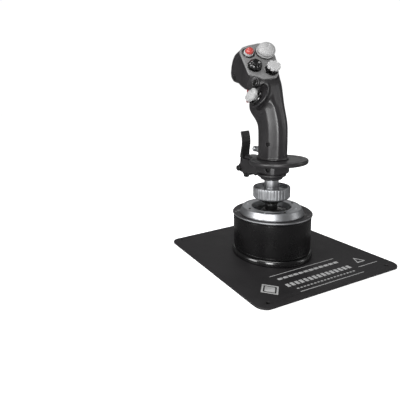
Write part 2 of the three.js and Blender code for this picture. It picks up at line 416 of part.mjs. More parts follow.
// ------------------------------------------------------------ paddle
const cheek = [[20, 139.6], [49, 139.6], [55, 134], [60.5, 129.6], [63, 124.4], [61.8, 120.4], [58, 118.6], [52, 117.6], [46.8, 113.4], [42.6, 111.2],
  [38.8, 112.8], [37.4, 117.4], [33, 119.6], [20, 119.2]];
let bracket = join(solid(sideProfile(cheek, -9.3, -6.7)), solid(sideProfile(cheek, 6.7, 9.3)), solid(block(-9.3, 9.3, 17, 22.5, 121.6, 139.6)));
for (const [p, r] of [[PADDLE_PIVOT, 2.4], [PADDLE_STOP, 1.9]]) bracket = cut(bracket, solid(alongX(disc(r, -14, 14, 12), ...p)));
add('paddle_bracket', bracket, paint(0x232325, 0.5), stick);
const crossPin = (r, rh, t) => turned([[0, -9.6 - t], [rh - 0.6, -9.6 - t], [rh, -9 - t], [rh, -9.6], [r, -9.6], [r, 9.6], [rh, 9.6], [rh, 9 + t], [rh - 0.6, 9.6 + t], [0, 9.6 + t]], 14);
add('paddle_pivot_pin', alongX(crossPin(2.1, 4.4, 3.2), ...PADDLE_PIVOT), paint(0x1a1a1b, 0.35, 0.8), stick);
add('paddle_stop_pin', alongX(crossPin(1.6, 3.2, 2.2), ...PADDLE_STOP), paint(0x1a1a1b, 0.35, 0.8), stick);

const lever = solid(sideProfile([[51.4, 121], [53.5, 119.4], [60, 119.4], [61.6, 121], [61.6, 130], [60.4, 140], [59.4, 146], [57.9, 152], [56.2, 159], [55.6, 165], [56.2, 171], [58.8, 180.6],
  [56, 181], [53.4, 172.4], [52.6, 165], [53.1, 158], [54.6, 151], [55.2, 145], [54.6, 140], [52.4, 134], [51.4, 130]], -6.3, 6.3));
const blade = solid(sideProfile([[60.4, 140.4], [59.4, 146], [57.9, 152], [56.2, 159], [55.6, 165], [56.2, 171], [58.8, 180.6],
  [56, 181], [53.4, 172.4], [52.6, 165], [53.1, 158], [54.6, 151], [55.2, 145], [54.8, 140.4]], -7.4, 7.4));
add('paddle_lever', cut(join(lever, blade), solid(alongX(disc(2.4, -10, 10, 12), ...PADDLE_PIVOT))), paint(0x151516, 0.5), stick);

export default root;
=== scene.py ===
import json
import math
import bpy
import bmesh
import numpy as np
from mathutils import Vector, Matrix


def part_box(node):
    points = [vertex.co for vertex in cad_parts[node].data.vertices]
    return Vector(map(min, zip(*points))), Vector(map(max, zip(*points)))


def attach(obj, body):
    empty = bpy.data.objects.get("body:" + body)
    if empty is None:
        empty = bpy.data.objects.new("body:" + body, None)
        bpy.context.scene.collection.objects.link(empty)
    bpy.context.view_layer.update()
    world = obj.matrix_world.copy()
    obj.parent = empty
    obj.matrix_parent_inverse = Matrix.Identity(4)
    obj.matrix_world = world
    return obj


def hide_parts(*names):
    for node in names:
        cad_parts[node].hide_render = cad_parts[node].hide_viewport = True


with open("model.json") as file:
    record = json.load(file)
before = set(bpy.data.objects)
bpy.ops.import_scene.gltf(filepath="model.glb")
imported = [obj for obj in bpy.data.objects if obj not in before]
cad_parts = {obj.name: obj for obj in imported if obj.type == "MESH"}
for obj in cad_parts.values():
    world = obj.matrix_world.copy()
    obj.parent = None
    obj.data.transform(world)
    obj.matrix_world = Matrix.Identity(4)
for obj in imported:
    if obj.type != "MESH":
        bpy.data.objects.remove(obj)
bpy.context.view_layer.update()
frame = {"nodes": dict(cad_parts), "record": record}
MM = 0.001

# ---------------------------------------------------------------- camera
def make_camera(c, yaw, pitch, roll, f, cx, cy):
    d = np.array([math.sin(yaw) * math.cos(pitch), math.cos(yaw) * math.cos(pitch), -math.sin(pitch)])
    r = np.cross(d, [0, 0, 1.0]); r /= np.linalg.norm(r)
    u = np.cross(r, d)
    co, si = math.cos(roll), math.sin(roll)
    right, up = co * r + si * u, -si * r + co * u
    cam = bpy.data.cameras.new("camera")
    ob = bpy.data.objects.new("camera", cam)
    bpy.context.scene.collection.objects.link(ob)
    m = Matrix([[right[i], up[i], -d[i], c[i] * MM] for i in range(3)] + [[0, 0, 0, 1]])
    ob.matrix_world = m
    cam.sensor_fit, cam.sensor_width = "HORIZONTAL", 36.0
    cam.lens = f / 400.0 * 36.0
    cam.shift_x, cam.shift_y = (200 - cx) / 400.0, (cy - 200) / 400.0
    cam.clip_start, cam.clip_end = 0.01, 20
    cam.dof.use_dof = False
    bpy.context.scene.camera = ob
    return ob

make_camera((-341.36, -375.38, 242.02), 0.2923, 0.2353, -0.0945, 332.35, 118.0, 182.0)
bpy.context.scene.view_settings.view_transform = "Standard"

# ---------------------------------------------------------------- materials
def links(m):
    nt = m.node_tree
    return nt, nt.nodes, nt.links

def finish_mat(name, dark, light, rough, metal=0.0, rvar=0.1, scale=60.0, grain=900.0, bump=0.00003,
               edge=None, edge_wear_and_highlight_amt=0.5, spec=0.5, coat=0.0, coat_rough=0.1, streak=None, rings=None, rings_amt=0.0,
               scratch=0.0, aniso=0.0):
    """Surface with two-tone variation, varied roughness, fine grain bump and paler convex edges, which are part wear
    and part painted edge highlight.
    """
    m = bpy.data.materials.new(name)
    m.use_nodes = True
    nt, N, L = links(m)
    bsdf = N["Principled BSDF"]
    tc = N.new("ShaderNodeTexCoord")
    mp = N.new("ShaderNodeMapping")
    L.new(tc.outputs["Object"], mp.inputs["Vector"])
    if streak:
        mp.inputs["Scale"].default_value = streak
    n1 = N.new("ShaderNodeTexNoise"); n1.inputs["Scale"].default_value = scale
    n1.inputs["Detail"].default_value = 6; n1.inputs["Roughness"].default_value = 0.6
    L.new(mp.outputs["Vector"], n1.inputs["Vector"])
    n2 = N.new("ShaderNodeTexNoise"); n2.inputs["Scale"].default_value = grain
    n2.inputs["Detail"].default_value = 3
    L.new(tc.outputs["Object"], n2.inputs["Vector"])
    ramp = N.new("ShaderNodeValToRGB")
    ramp.color_ramp.elements[0].position = 0.3; ramp.color_ramp.elements[0].color = (*dark, 1)
    ramp.color_ramp.elements[1].position = 0.72; ramp.color_ramp.elements[1].color = (*light, 1)
    L.new(n1.outputs["Fac"], ramp.inputs["Fac"])
    colour = ramp.outputs["Color"]
    # paler colour on convex edges (Pointiness), broken up by noise: part wear, part painted edge highlight
    if edge is not None:
        geo = N.new("ShaderNodeNewGeometry")
        r2 = N.new("ShaderNodeMapRange")
        r2.inputs["From Min"].default_value = 0.53; r2.inputs["From Max"].default_value = 0.62
        L.new(geo.outputs["Pointiness"], r2.inputs["Value"])
        n3 = N.new("ShaderNodeTexNoise"); n3.inputs["Scale"].default_value = 220; n3.inputs["Detail"].default_value = 4
        L.new(tc.outputs["Object"], n3.inputs["Vector"])
        r3 = N.new("ShaderNodeMapRange")
        r3.inputs["From Min"].default_value = 0.4; r3.inputs["From Max"].default_value = 0.7
        L.new(n3.outputs["Fac"], r3.inputs["Value"])
        mul = N.new("ShaderNodeMath"); mul.operation = "MULTIPLY"
        L.new(r2.outputs["Result"], mul.inputs[0]); L.new(r3.outputs["Result"], mul.inputs[1])
        mul2 = N.new("ShaderNodeMath"); mul2.operation = "MULTIPLY"; mul2.inputs[1].default_value = edge_wear_and_highlight_amt
        L.new(mul.outputs[0], mul2.inputs[0])
        mx = N.new("ShaderNodeMix"); mx.data_type = "RGBA"
        L.new(mul2.outputs[0], mx.inputs["Factor"])
        L.new(colour, mx.inputs["A"]); mx.inputs["B"].default_value = (*edge, 1)
        colour = mx.outputs["Result"]
    L.new(colour, bsdf.inputs["Base Color"])
    rr = N.new("ShaderNodeMapRange")
    rr.inputs["From Min"].default_value = 0.3; rr.inputs["From Max"].default_value = 0.7
    rr.inputs["To Min"].default_value = max(0.02, rough - rvar); rr.inputs["To Max"].default_value = min(1, rough + rvar)
    L.new(n1.outputs["Fac"], rr.inputs["Value"])
    L.new(rr.outputs["Result"], bsdf.inputs["Roughness"])
    bsdf.inputs["Metallic"].default_value = metal
    bsdf.inputs["Specular IOR Level"].default_value = spec
    bsdf.inputs["Coat Weight"].default_value = coat
    bsdf.inputs["Coat Roughness"].default_value = coat_rough
    height = n2.outputs["Fac"]
    dist = bump
    if rings:
        # fine turned marks about the vertical axis: waves of the distance from it
        sep = N.new("ShaderNodeSeparateXYZ"); L.new(tc.outputs["Object"], sep.inputs["Vector"])
        cmb = N.new("ShaderNodeCombineXYZ")
        L.new(sep.outputs["X"], cmb.inputs["X"]); L.new(sep.outputs["Y"], cmb.inputs["Y"])
        ln = N.new("ShaderNodeVectorMath"); ln.operation = "LENGTH"
        L.new(cmb.outputs["Vector"], ln.inputs[0])
        add = N.new("ShaderNodeMath"); add.operation = "ADD"
        L.new(ln.outputs["Value"], add.inputs[0]); L.new(sep.outputs["Z"], add.inputs[1])
        s = N.new("ShaderNodeMath"); s.operation = "MULTIPLY"; s.inputs[1].default_value = rings
        L.new(add.outputs[0], s.inputs[0])
        sn = N.new("ShaderNodeMath"); sn.operation = "SINE"; L.new(s.outputs[0], sn.inputs[0])
        ad = N.new("ShaderNodeMath"); ad.operation = "MULTIPLY_ADD"
        L.new(sn.outputs[0], ad.inputs[0]); ad.inputs[1].default_value = rings_amt; L.new(height, ad.inputs[2])
        height = ad.outputs[0]
    if scratch:
        ws = N.new("ShaderNodeTexNoise"); ws.inputs["Scale"].default_value = 350; ws.inputs["Detail"].default_value = 2
        mp2 = N.new("ShaderNodeMapping"); mp2.inputs["Scale"].default_value = (1, 1, 0.06)
        L.new(tc.outputs["Object"], mp2.inputs["Vector"]); L.new(mp2.outputs["Vector"], ws.inputs["Vector"])
        ad2 = N.new("ShaderNodeMath"); ad2.operation = "MULTIPLY_ADD"
        L.new(ws.outputs["Fac"], ad2.inputs[0]); ad2.inputs[1].default_value = scratch; L.new(height, ad2.inputs[2])
        height = ad2.outputs[0]
    bp = N.new("ShaderNodeBump")
    bp.inputs["Strength"].default_value = 1.0
    bp.inputs["Distance"].default_value = dist
    L.new(height, bp.inputs["Height"])
    L.new(bp.outputs["Normal"], bsdf.inputs["Normal"])
    return m

def g(v, tint=(1, 1, 1)):
    return tuple(v * t for t in tint)

WARM, COOL = (1.03, 0.96, 1.03), (0.98, 1.0, 1.03)
# the edge colours below paint convex edges paler: part wear, part painted edge highlight (pinkish on the red plastic,
# near white on the metals)
M = {
    "plate_black": finish_mat("m_plate_black", g(0.011, WARM), g(0.016, WARM), 0.55, rvar=0.08, scale=25, grain=1400, bump=0.00010,
                              edge=g(0.09), edge_wear_and_highlight_amt=0.5, spec=0.4),
    "body_black": finish_mat("m_body_black", g(0.003, WARM), g(0.005, WARM), 0.28, rvar=0.05, scale=30, grain=1600, bump=0.000012,
                             edge=g(0.10), edge_wear_and_highlight_amt=0.5, spec=0.35),
    "foot_gloss": finish_mat("m_foot_gloss", g(0.003, WARM), g(0.005, WARM), 0.22, rvar=0.04, scale=30, grain=1600, bump=0.000010,
                             edge=g(0.16), edge_wear_and_highlight_amt=0.5, spec=0.6, coat=0.5, coat_rough=0.12),
    "cover_grey": finish_mat("m_cover_grey", g(0.018, WARM), g(0.026, WARM), 0.48, rvar=0.06, scale=40, grain=1500, bump=0.00003,
                             edge=g(0.3), edge_wear_and_highlight_amt=0.7, spec=0.4),
    "grip_black": finish_mat("m_grip_black", g(0.012, WARM), g(0.017, WARM), 0.37, rvar=0.05, scale=45, grain=1900, bump=0.00003,
                             edge=g(0.10), edge_wear_and_highlight_amt=0.45, spec=0.75),
    "grip_side": finish_mat("m_grip_side", g(0.014, WARM), g(0.021, WARM), 0.5, rvar=0.06, scale=45, grain=1900, bump=0.00006,
                            edge=g(0.08), edge_wear_and_highlight_amt=0.55, spec=0.45),
    "face_grey": finish_mat("m_face_grey", g(0.155), g(0.185), 0.46, rvar=0.05, scale=60, grain=2000, bump=0.00004,
                            edge=g(0.36), edge_wear_and_highlight_amt=0.5, spec=0.45),
    "bright_metal": finish_mat("m_bright_metal", g(0.46, COOL), g(0.54, COOL), 0.43, metal=1.0, rvar=0.04, scale=40, grain=1500,
                               bump=0.000003, rings=6000, rings_amt=0.2, edge=g(0.9), edge_wear_and_highlight_amt=0.4),
    "nut_metal": finish_mat("m_nut_metal", g(0.36, COOL), g(0.50, COOL), 0.50, metal=1.0, rvar=0.07, scale=120, grain=1300,
                            bump=0.00002, scratch=1.2, edge=g(0.85), edge_wear_and_highlight_amt=0.6),
    "inner_steel": finish_mat("m_inner_steel", g(0.35), g(0.5), 0.38, metal=1.0, rvar=0.1, scale=120, grain=1300, bump=0.00003),
    "dark_screw": finish_mat("m_dark_screw", g(0.02), g(0.035), 0.35, metal=0.6, rvar=0.08, scale=200, grain=1600, bump=0.00002,
                             edge=g(0.2), edge_wear_and_highlight_amt=0.6),
    "pale_plastic": finish_mat("m_pale_plastic", g(0.30), g(0.35), 0.55, rvar=0.06, scale=90, grain=1500, bump=0.00005,
                               edge=g(0.72), edge_wear_and_highlight_amt=0.3, spec=0.4),
    "mid_plastic": finish_mat("m_mid_plastic", g(0.34), g(0.40), 0.5, rvar=0.06, scale=90, grain=1500, bump=0.00004,
                              edge=g(0.62), edge_wear_and_highlight_amt=0.4, spec=0.4),
    "black_plastic": finish_mat("m_black_plastic", g(0.004), g(0.008), 0.40, rvar=0.06, scale=90, grain=1500, bump=0.00003,
                                edge=g(0.06), edge_wear_and_highlight_amt=0.5, spec=0.45),
    "gloss_black": finish_mat("m_gloss_black", g(0.004), g(0.007), 0.12, rvar=0.04, scale=90, grain=1300, bump=0.00001,
                              coat=0.6, coat_rough=0.05, spec=0.6),
    "red_plastic": finish_mat("m_red_plastic", (0.36, 0.045, 0.04), (0.44, 0.065, 0.055), 0.24, rvar=0.05, scale=120, grain=1300,
                              bump=0.00001, coat=0.5, coat_rough=0.08, edge=(0.9, 0.32, 0.28), edge_wear_and_highlight_amt=0.4),
    "trigger_red": finish_mat("m_trigger_red", (0.16, 0.008, 0.012), (0.22, 0.014, 0.018), 0.34, rvar=0.06, scale=100, grain=1500,
                              bump=0.00002, edge=(0.4, 0.08, 0.08), edge_wear_and_highlight_amt=0.4),
    "board_green": finish_mat("m_board_green", (0.01, 0.05, 0.02), (0.02, 0.08, 0.03), 0.45, rvar=0.08, scale=300, grain=900, bump=0.00004),
    "pad_rubber": finish_mat("m_pad_rubber", g(0.008), g(0.014), 0.85, rvar=0.06, scale=60, grain=700, bump=0.00015, spec=0.3),
    "print_white": finish_mat("m_print_white", g(0.30), g(0.38), 0.6, rvar=0.05, scale=300, grain=2200, bump=0.00002, spec=0.3),
}

SLOT_MAT = {k: k for k in M}
for s in frame["record"].get("materials", []) or []:
    pass

def paint(ob, key):
    ob.data.materials.clear()
    ob.data.materials.append(M[key])

# Every CAD node gets a finish first; pieces below replace most of the visible ones.
NODE_FINISH = {
    "non_slip_pad": "pad_rubber", "mount_plate": "plate_black", "plate_screw": "dark_screw", "base_foot_ring": "body_black",
    "base_housing": "body_black", "cable_gland": "black_plastic", "top_cover": "cover_grey", "bezel_ring": "bright_metal",
    "bezel_screw": "bright_metal", "gimbal_socket": "inner_steel", "gimbal_ring": "inner_steel", "gimbal_ball": "black_plastic",
    "centering_spring": "inner_steel", "spring_plate": "inner_steel", "sensor_pillar": "board_green", "hall_sensor": "black_plastic",
    "sensor_magnet": "inner_steel", "main_board": "board_green", "stick_post": "inner_steel", "thread_hub": "nut_metal",
    "collar_nut": "nut_metal", "grip_shaft": "bright_metal", "neck_ring": "grip_black", "neck_block": "grip_black",
    "neck_screw": "dark_screw", "hand_rest": "grip_black", "grip_left_half": "grip_black", "grip_right_half": "grip_black",
    "grip_screw": "dark_screw", "nose_screw": "dark_screw", "grip_board": "board_green", "face_plate": "face_grey",
    "trim_hat_skirt": "black_plastic", "trim_hat_yoke": "inner_steel", "trim_hat": "pale_plastic", "black_hat_yoke": "inner_steel",
    "black_hat": "gloss_black", "castle_hat_yoke": "inner_steel", "castle_hat": "mid_plastic", "side_hat_collar": "black_plastic",
    "side_hat_plunger": "inner_steel", "side_hat_yoke": "inner_steel", "side_hat": "pale_plastic", "release_collar": "cover_grey",
    "release_button": "red_plastic", "mode_button": "black_plastic", "trigger_pin": "inner_steel", "trigger": "trigger_red",
    "pinky_sleeve": "black_plastic", "pinky_button": "bright_metal", "paddle_bracket": "grip_black", "paddle_pivot_pin": "dark_screw",
    "paddle_stop_pin": "dark_screw", "paddle_lever": "black_plastic",
}
for n, ob in frame["nodes"].items():
    key = next((v for k, v in sorted(NODE_FINISH.items(), key=lambda kv: -len(kv[0])) if n.startswith(k)), "black_plastic")
    paint(ob, key)

# ---------------------------------------------------------------- mesh helpers (millimetres in, metres out)
def make(name, verts, faces, key, body, replaces=(), smooth=35.0, xf=None, merge=False, bevel=None):
    v = np.asarray(verts, float)
    if xf is not None:
        v = v @ xf[:3, :3].T + xf[:3, 3]
    me = bpy.data.meshes.new(name)
    me.from_pydata((v * MM).tolist(), [], [tuple(int(i) for i in f) for f in faces])
    bm = bmesh.new(); bm.from_mesh(me)
    if merge:
        bmesh.ops.remove_doubles(bm, verts=bm.verts, dist=2e-6)
    bmesh.ops.recalc_face_normals(bm, faces=bm.faces)
    bm.to_mesh(me); bm.free()
    return dress(name, me, key, body, replaces, smooth, bevel)

def dress(name, me, key, body, replaces=(), smooth=35.0, bevel=None):
    me.materials.clear()
    me.materials.append(M[key])
    me.polygons.foreach_set("use_smooth", [True] * len(me.polygons))
    ob = bpy.data.objects.new(name, me)
    bpy.context.scene.collection.objects.link(ob)
    if bevel:
        b = ob.modifiers.new("edge", "BEVEL")
        b.width, b.segments, b.limit_method, b.angle_limit = bevel * MM, 3, "ANGLE", math.radians(40)
        b.harden_normals = False
    me.set_sharp_from_angle(angle=math.radians(smooth))
    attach(ob, body)
    if replaces:
        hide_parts(*([replaces] if isinstance(replaces, str) else replaces))
    return ob

def fillet(pts, rad, n=4, closed=False):
    """Rounds the corners of a 2-D polyline. rad is one radius or one for each point."""
    P = [np.array(p, float) for p in pts]
    R = rad if hasattr(rad, "__len__") else [rad] * len(P)
    out = []
    for i, p in enumerate(P):
        if (not closed and i in (0, len(P) - 1)) or R[i] <= 0:
            out.append(p); continue
        a, b = P[i - 1] - p, P[(i + 1) % len(P)] - p
        la, lb = np.linalg.norm(a), np.linalg.norm(b)
        if la < 1e-9 or lb < 1e-9:
            out.append(p); continue
        a, b = a / la, b / lb
        ang = math.acos(max(-1, min(1, float(a @ b))))
        if ang > math.pi - 0.05:
            out.append(p); continue
        t = min(R[i] / math.tan(ang / 2), 0.45 * la, 0.45 * lb)
        r = t * math.tan(ang / 2)
        c = p + (a + b) / np.linalg.norm(a + b) * (r / math.sin(ang / 2))
        s, e = p + a * t - c, p + b * t - c
        a0 = math.atan2(s[1], s[0]); da = math.atan2(e[1], e[0]) - a0
        da = (da + math.pi) % (2 * math.pi) - math.pi
        for k in range(n + 1):
            th = a0 + da * k / n
            out.append(c + r * np.array([math.cos(th), math.sin(th)]))
    return [tuple(q) for q in out]

def lathe(pts, seg=96, radial=None, phase=0.0):
    """Turned skin about Z. pts are [radius, z]; ends on the axis are capped, otherwise the profile closes on itself.
    radial(theta array, r, z) may return changed radii."""
    pts = [tuple(p) for p in pts]
    open_axis = pts[0][0] < 1e-6 and pts[-1][0] < 1e-6
    th = phase + np.arange(seg) * 2 * math.pi / seg
    verts, faces, rows = [], [], []
    for r, z in pts:
        if r < 1e-6:
            rows.append([len(verts)]); verts.append((0, 0, z))
        else:
            rr = np.broadcast_to(r if radial is None else radial(th, r, z), (seg,))
            rows.append(list(range(len(verts), len(verts) + seg)))
            verts += [(rr[i] * math.cos(th[i]), rr[i] * math.sin(th[i]), z) for i in range(seg)]
    pairs = [(i, i + 1) for i in range(len(rows) - 1)] + ([] if open_axis else [(len(rows) - 1, 0)])
    for a, b in pairs:
        A, B = rows[a], rows[b]
        if len(A) == 1 and len(B) == 1:
            continue
        for i in range(seg):
            j = (i + 1) % seg
            if len(A) == 1:
                faces.append((A[0], B[j], B[i]))
            elif len(B) == 1:
                faces.append((A[i], A[j], B[0]))
            else:
                faces.append((A[i], A[j], B[j], B[i]))
    return verts, faces

def joined(*parts):
    V, F = [], []
    for v, f in parts:
        o = len(V)
        V += [tuple(p) for p in v]
        F += [tuple(i + o for i in q) for q in f]
    return V, F

def moved(part, xf):
    v = np.asarray(part[0], float) @ xf[:3, :3].T + xf[:3, 3]
    return [tuple(p) for p in v], part[1]

def frame_at(p, n, right=None):
    z = np.array(n, float); z /= np.linalg.norm(z)
    x = np.cross([0, 0, 1.0], z) if right is None else np.array(right, float)
    x = x - (x @ z) * z if right is not None else x
    x /= np.linalg.norm(x)
    y = np.cross(z, x)
    m = np.eye(4); m[:3, 0], m[:3, 1], m[:3, 2], m[:3, 3] = x, y, z, p
    return m

def shift(x=0, y=0, z=0):
    m = np.eye(4); m[:3, 3] = (x, y, z); return m

ALONG_X = lambda y, z, x=0: np.array([[0, 0, 1, x], [0, 1, 0, y], [-1, 0, 0, z], [0, 0, 0, 1.0]])
ALONG_Y = lambda x, z, y=0: np.array([[1, 0, 0, x], [0, 0, 1, y], [0, -1, 0, z], [0, 0, 0, 1.0]])
YZX = np.array([[0, 0, 1, 0], [1, 0, 0, 0], [0, 1, 0, 0], [0, 0, 0, 1.0]])   # local x, y, z -> world Y, Z, X

def plate2d(outline, holes, z0, z1, bev=0.3, res=3):
    """Flat plate with rounded rims round its outline and holes."""
    cu = bpy.data.curves.new("tmp", "CURVE")
    cu.dimensions, cu.fill_mode = "2D", "BOTH"
    cu.extrude = max(0.0, (z1 - z0) / 2 - bev)
    cu.bevel_depth, cu.bevel_resolution, cu.offset = bev, res, -bev
    for ring in [outline] + list(holes):
        sp = cu.splines.new("POLY")
        sp.points.add(len(ring) - 1)
        for i, q in enumerate(ring):
            sp.points[i].co = (q[0], q[1], 0, 1)
        sp.use_cyclic_u = True
    ob = bpy.data.objects.new("tmp", cu)
    bpy.context.scene.collection.objects.link(ob)
    dg = bpy.context.evaluated_depsgraph_get()
    me = bpy.data.meshes.new_from_object(ob.evaluated_get(dg))
    bpy.data.objects.remove(ob); bpy.data.curves.remove(cu)
    bm = bmesh.new(); bm.from_mesh(me)
    bmesh.ops.remove_doubles(bm, verts=bm.verts, dist=0.002)
    V = [(v.co.x, v.co.y, v.co.z + (z0 + z1) / 2) for v in bm.verts]
    for i, v in enumerate(bm.verts):
        v.index = i
    F = [tuple(v.index for v in f.verts) for f in bm.faces]
    bm.free(); bpy.data.meshes.remove(me)
    return V, F

def circle(r, n=32, c=(0, 0), ph=0.0):
    return [(c[0] + r * math.cos(ph + i * 2 * math.pi / n), c[1] + r * math.sin(ph + i * 2 * math.pi / n)) for i in range(n)]

# ---------------------------------------------------------------- solid modelling on a grid
class Grid:
    def __init__(self, lo, hi, h):
        self.lo, self.h = np.array(lo, np.float32), h
        n = [int(math.ceil((b - a) / h)) + 1 for a, b in zip(lo, hi)]
        ax = [np.float32(lo[i]) + np.float32(h) * np.arange(n[i], dtype=np.float32) for i in range(3)]
        self.x, self.y, self.z = ax[0][:, None, None], ax[1][None, :, None], ax[2][None, None, :]
        self.shape = tuple(n)

    def full(self, d):
        return np.ascontiguousarray(np.broadcast_to(d, self.shape)).astype(np.float32)

def smin(a, b, k):
    if k <= 0:
        return np.minimum(a, b)
    h = np.clip(0.5 + 0.5 * (b - a) / k, 0, 1)
    return b * (1 - h) + a * h - k * h * (1 - h)

def smax(a, b, k):
    return -smin(-a, -b, k)

def poly_sdf(u, v, pts):
    """Signed distance to a closed polygon, u and v broadcast together."""
    P = np.array(pts, np.float32)
    u, v = np.broadcast_arrays(u, v)
    d = np.full(u.shape, 1e9, np.float32); s = np.ones(u.shape, np.float32)
    j = len(P) - 1
    for i in range(len(P)):
        ex, ey = P[j] - P[i]
        wx, wy = u - P[i][0], v - P[i][1]
        t = np.clip((wx * ex + wy * ey) / (ex * ex + ey * ey), 0, 1)
        d = np.minimum(d, (wx - ex * t) ** 2 + (wy - ey * t) ** 2)
        c1 = v >= P[i][1]; c2 = v < P[j][1]; c3 = ex * wy > ey * wx
        flip = (c1 & c2 & c3) | (~c1 & ~c2 & ~c3)
        s = np.where(flip, -s, s)
        j = i
    return s * np.sqrt(d)

def both(a, b, r):
    """Intersection with its edge rounded to radius r."""
    if r <= 0:
        return np.maximum(a, b)
    return np.minimum(np.maximum(a + r, b + r), 0) + np.sqrt(np.maximum(a + r, 0) ** 2 + np.maximum(b + r, 0) ** 2) - r

def cyl(G, p, n, r, h0, h1, round_=0.0):
    n = np.array(n, float); n = n / np.linalg.norm(n)
    qx, qy, qz = G.x - p[0], G.y - p[1], G.z - p[2]
    h = qx * n[0] + qy * n[1] + qz * n[2]
    rad = np.sqrt(np.maximum(qx * qx + qy * qy + qz * qz - h * h, 0))
    return both(rad - r, np.abs(h - (h0 + h1) / 2) - (h1 - h0) / 2, round_)

def box(G, x0, x1, y0, y1, z0, z1):
    return np.maximum(np.maximum(np.abs(G.x - (x0 + x1) / 2) - (x1 - x0) / 2, np.abs(G.y - (y0 + y1) / 2) - (y1 - y0) / 2),
                      np.abs(G.z - (z0 + z1) / 2) - (z1 - z0) / 2)

def skin(G, f):
    """Closed quad mesh of f = 0 (surface nets)."""
    f = G.full(f)
    f[0], f[-1] = np.maximum(f[0], 0.3), np.maximum(f[-1], 0.3)
    f[:, 0], f[:, -1] = np.maximum(f[:, 0], 0.3), np.maximum(f[:, -1], 0.3)
    f[:, :, 0], f[:, :, -1] = np.maximum(f[:, :, 0], 0.3), np.maximum(f[:, :, -1], 0.3)
    s = f < 0
    nx, ny, nz = f.shape
    cnt = np.zeros((nx - 1, ny - 1, nz - 1), np.int8)
    for i in (0, 1):
        for j in (0, 1):
            for k in (0, 1):
                cnt += s[i:nx - 1 + i, j:ny - 1 + j, k:nz - 1 + k]
    act = (cnt > 0) & (cnt < 8)
    ci, cj, ck = np.nonzero(act)
    idx = np.full(act.shape, -1, np.int64); idx[ci, cj, ck] = np.arange(len(ci))
    pos = np.zeros((len(ci), 3)); num = np.zeros(len(ci))
    corners = [(i, j, k) for i in (0, 1) for j in (0, 1) for k in (0, 1)]
    for a in corners:
        for ax in range(3):
            if a[ax]:
                continue
            b = list(a); b[ax] = 1
            fa = f[ci + a[0], cj + a[1], ck + a[2]]; fb = f[ci + b[0], cj + b[1], ck + b[2]]
            m = (fa < 0) != (fb < 0)
            t = fa[m] / (fa[m] - fb[m])
            q = np.array(a, float)[None, :].repeat(m.sum(), 0); q[:, ax] += t
            pos[m] += q; num[m] += 1
    pos = pos / num[:, None] + np.stack([ci, cj, ck], 1)
    V = pos * G.h + G.lo
    F = []
    for ax in range(3):
        b, c = (ax + 1) % 3, (ax + 2) % 3
        sl0 = [slice(None)] * 3; sl1 = [slice(None)] * 3
        sl0[ax], sl1[ax] = slice(0, -1), slice(1, None)
        d = s[tuple(sl0)] != s[tuple(sl1)]
        e = np.array(np.nonzero(d)).T
        e = e[(e[:, b] > 0) & (e[:, c] > 0) & (e[:, b] < f.shape[b] - 1) & (e[:, c] < f.shape[c] - 1)]
        q = []
        for ob, oc in ((-1, -1), (0, -1), (0, 0), (-1, 0)):
            w = e.copy(); w[:, b] += ob; w[:, c] += oc
            q.append(idx[w[:, 0], w[:, 1], w[:, 2]])
        q = np.stack(q, 1)
        inside = s[e[:, 0], e[:, 1], e[:, 2]]
        q = np.where(inside[:, None], q, q[:, ::-1])
        F.append(q)
    F = np.vstack(F)
    return V, F

def solid(name, G, f, key, body, replaces=(), smooth=50.0, relax=0):
    V, F = skin(G, f)
    me = bpy.data.meshes.new(name)
    me.vertices.add(len(V)); me.vertices.foreach_set("co", (V * MM).astype(np.float32).ravel())
    me.loops.add(F.size); me.loops.foreach_set("vertex_index", F.astype(np.int32).ravel())
    me.polygons.add(len(F)); me.polygons.foreach_set("loop_start", (np.arange(len(F)) * 4).astype(np.int32))
    me.update(); me.validate()
    return dress(name, me, key, body, replaces, smooth)

# ---------------------------------------------------------------- base
def rounded_square(half, r, n=10):
    out = []
    for cx, cy, a0 in ((half - r, half - r, 0), (-half + r, half - r, 90), (-half + r, -half + r, 180), (half - r, -half + r, 270)):
        out += [(cx + r * math.cos(math.radians(a0 + 90 * k / n)), cy + r * math.sin(math.radians(a0 + 90 * k / n))) for k in range(n + 1)]
    return out

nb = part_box("mount_plate")
P0, P1 = nb[0].z / MM, nb[1].z / MM
HALF = nb[1].x / MM
HX, HY = 94.0, 101.0
holes = [circle(2.3, 24, (sx * HX, sy * HY)) for sx in (-1, 1) for sy in (-1, 1)]
V, F = plate2d(rounded_square(HALF, 13), holes, P0, P1, 0.35, 3)
make("plate", V, F, "plate_black", "base", "mount_plate", smooth=30)

def screw(r, h, hexr=None, depth=1.0, shank=None, slen=0.0, bev=0.25):
    """Cap head along +Z from z=0 with a six-sided socket, and a plain shank below."""
    hexr = hexr or r * 0.5
    top = plate2d(circle(r, 40), [circle(hexr, 6)], h - depth - 0.01, h, bev, 2)
    parts = [top, lathe([(0, h - depth - 0.01), (0, 0), (r - 0.05, 0), (r - 0.02, h - depth), (0, h - depth + 0.0)], 40)]
    parts[1] = lathe([(0, 0), (r - 0.03, 0), (r - 0.03, h - depth + 0.02), (0, h - depth + 0.02)], 40)
    if shank:
        parts.append(lathe([(0, -slen), (shank, -slen), (shank, 0.1), (0, 0.1)], 20))
    return joined(*parts)

# countersunk washers' edges round the corner holes are part of the plate; the print is thin raised ink
def bar(x0, x1, y, h, r=None):
    r = min(h / 2, (x1 - x0) / 2) * 0.98 if r is None else r
    pts = [(x0, y - h / 2), (x1, y - h / 2), (x1, y + h / 2), (x0, y + h / 2)]
    return fillet(pts, r, 3, True)

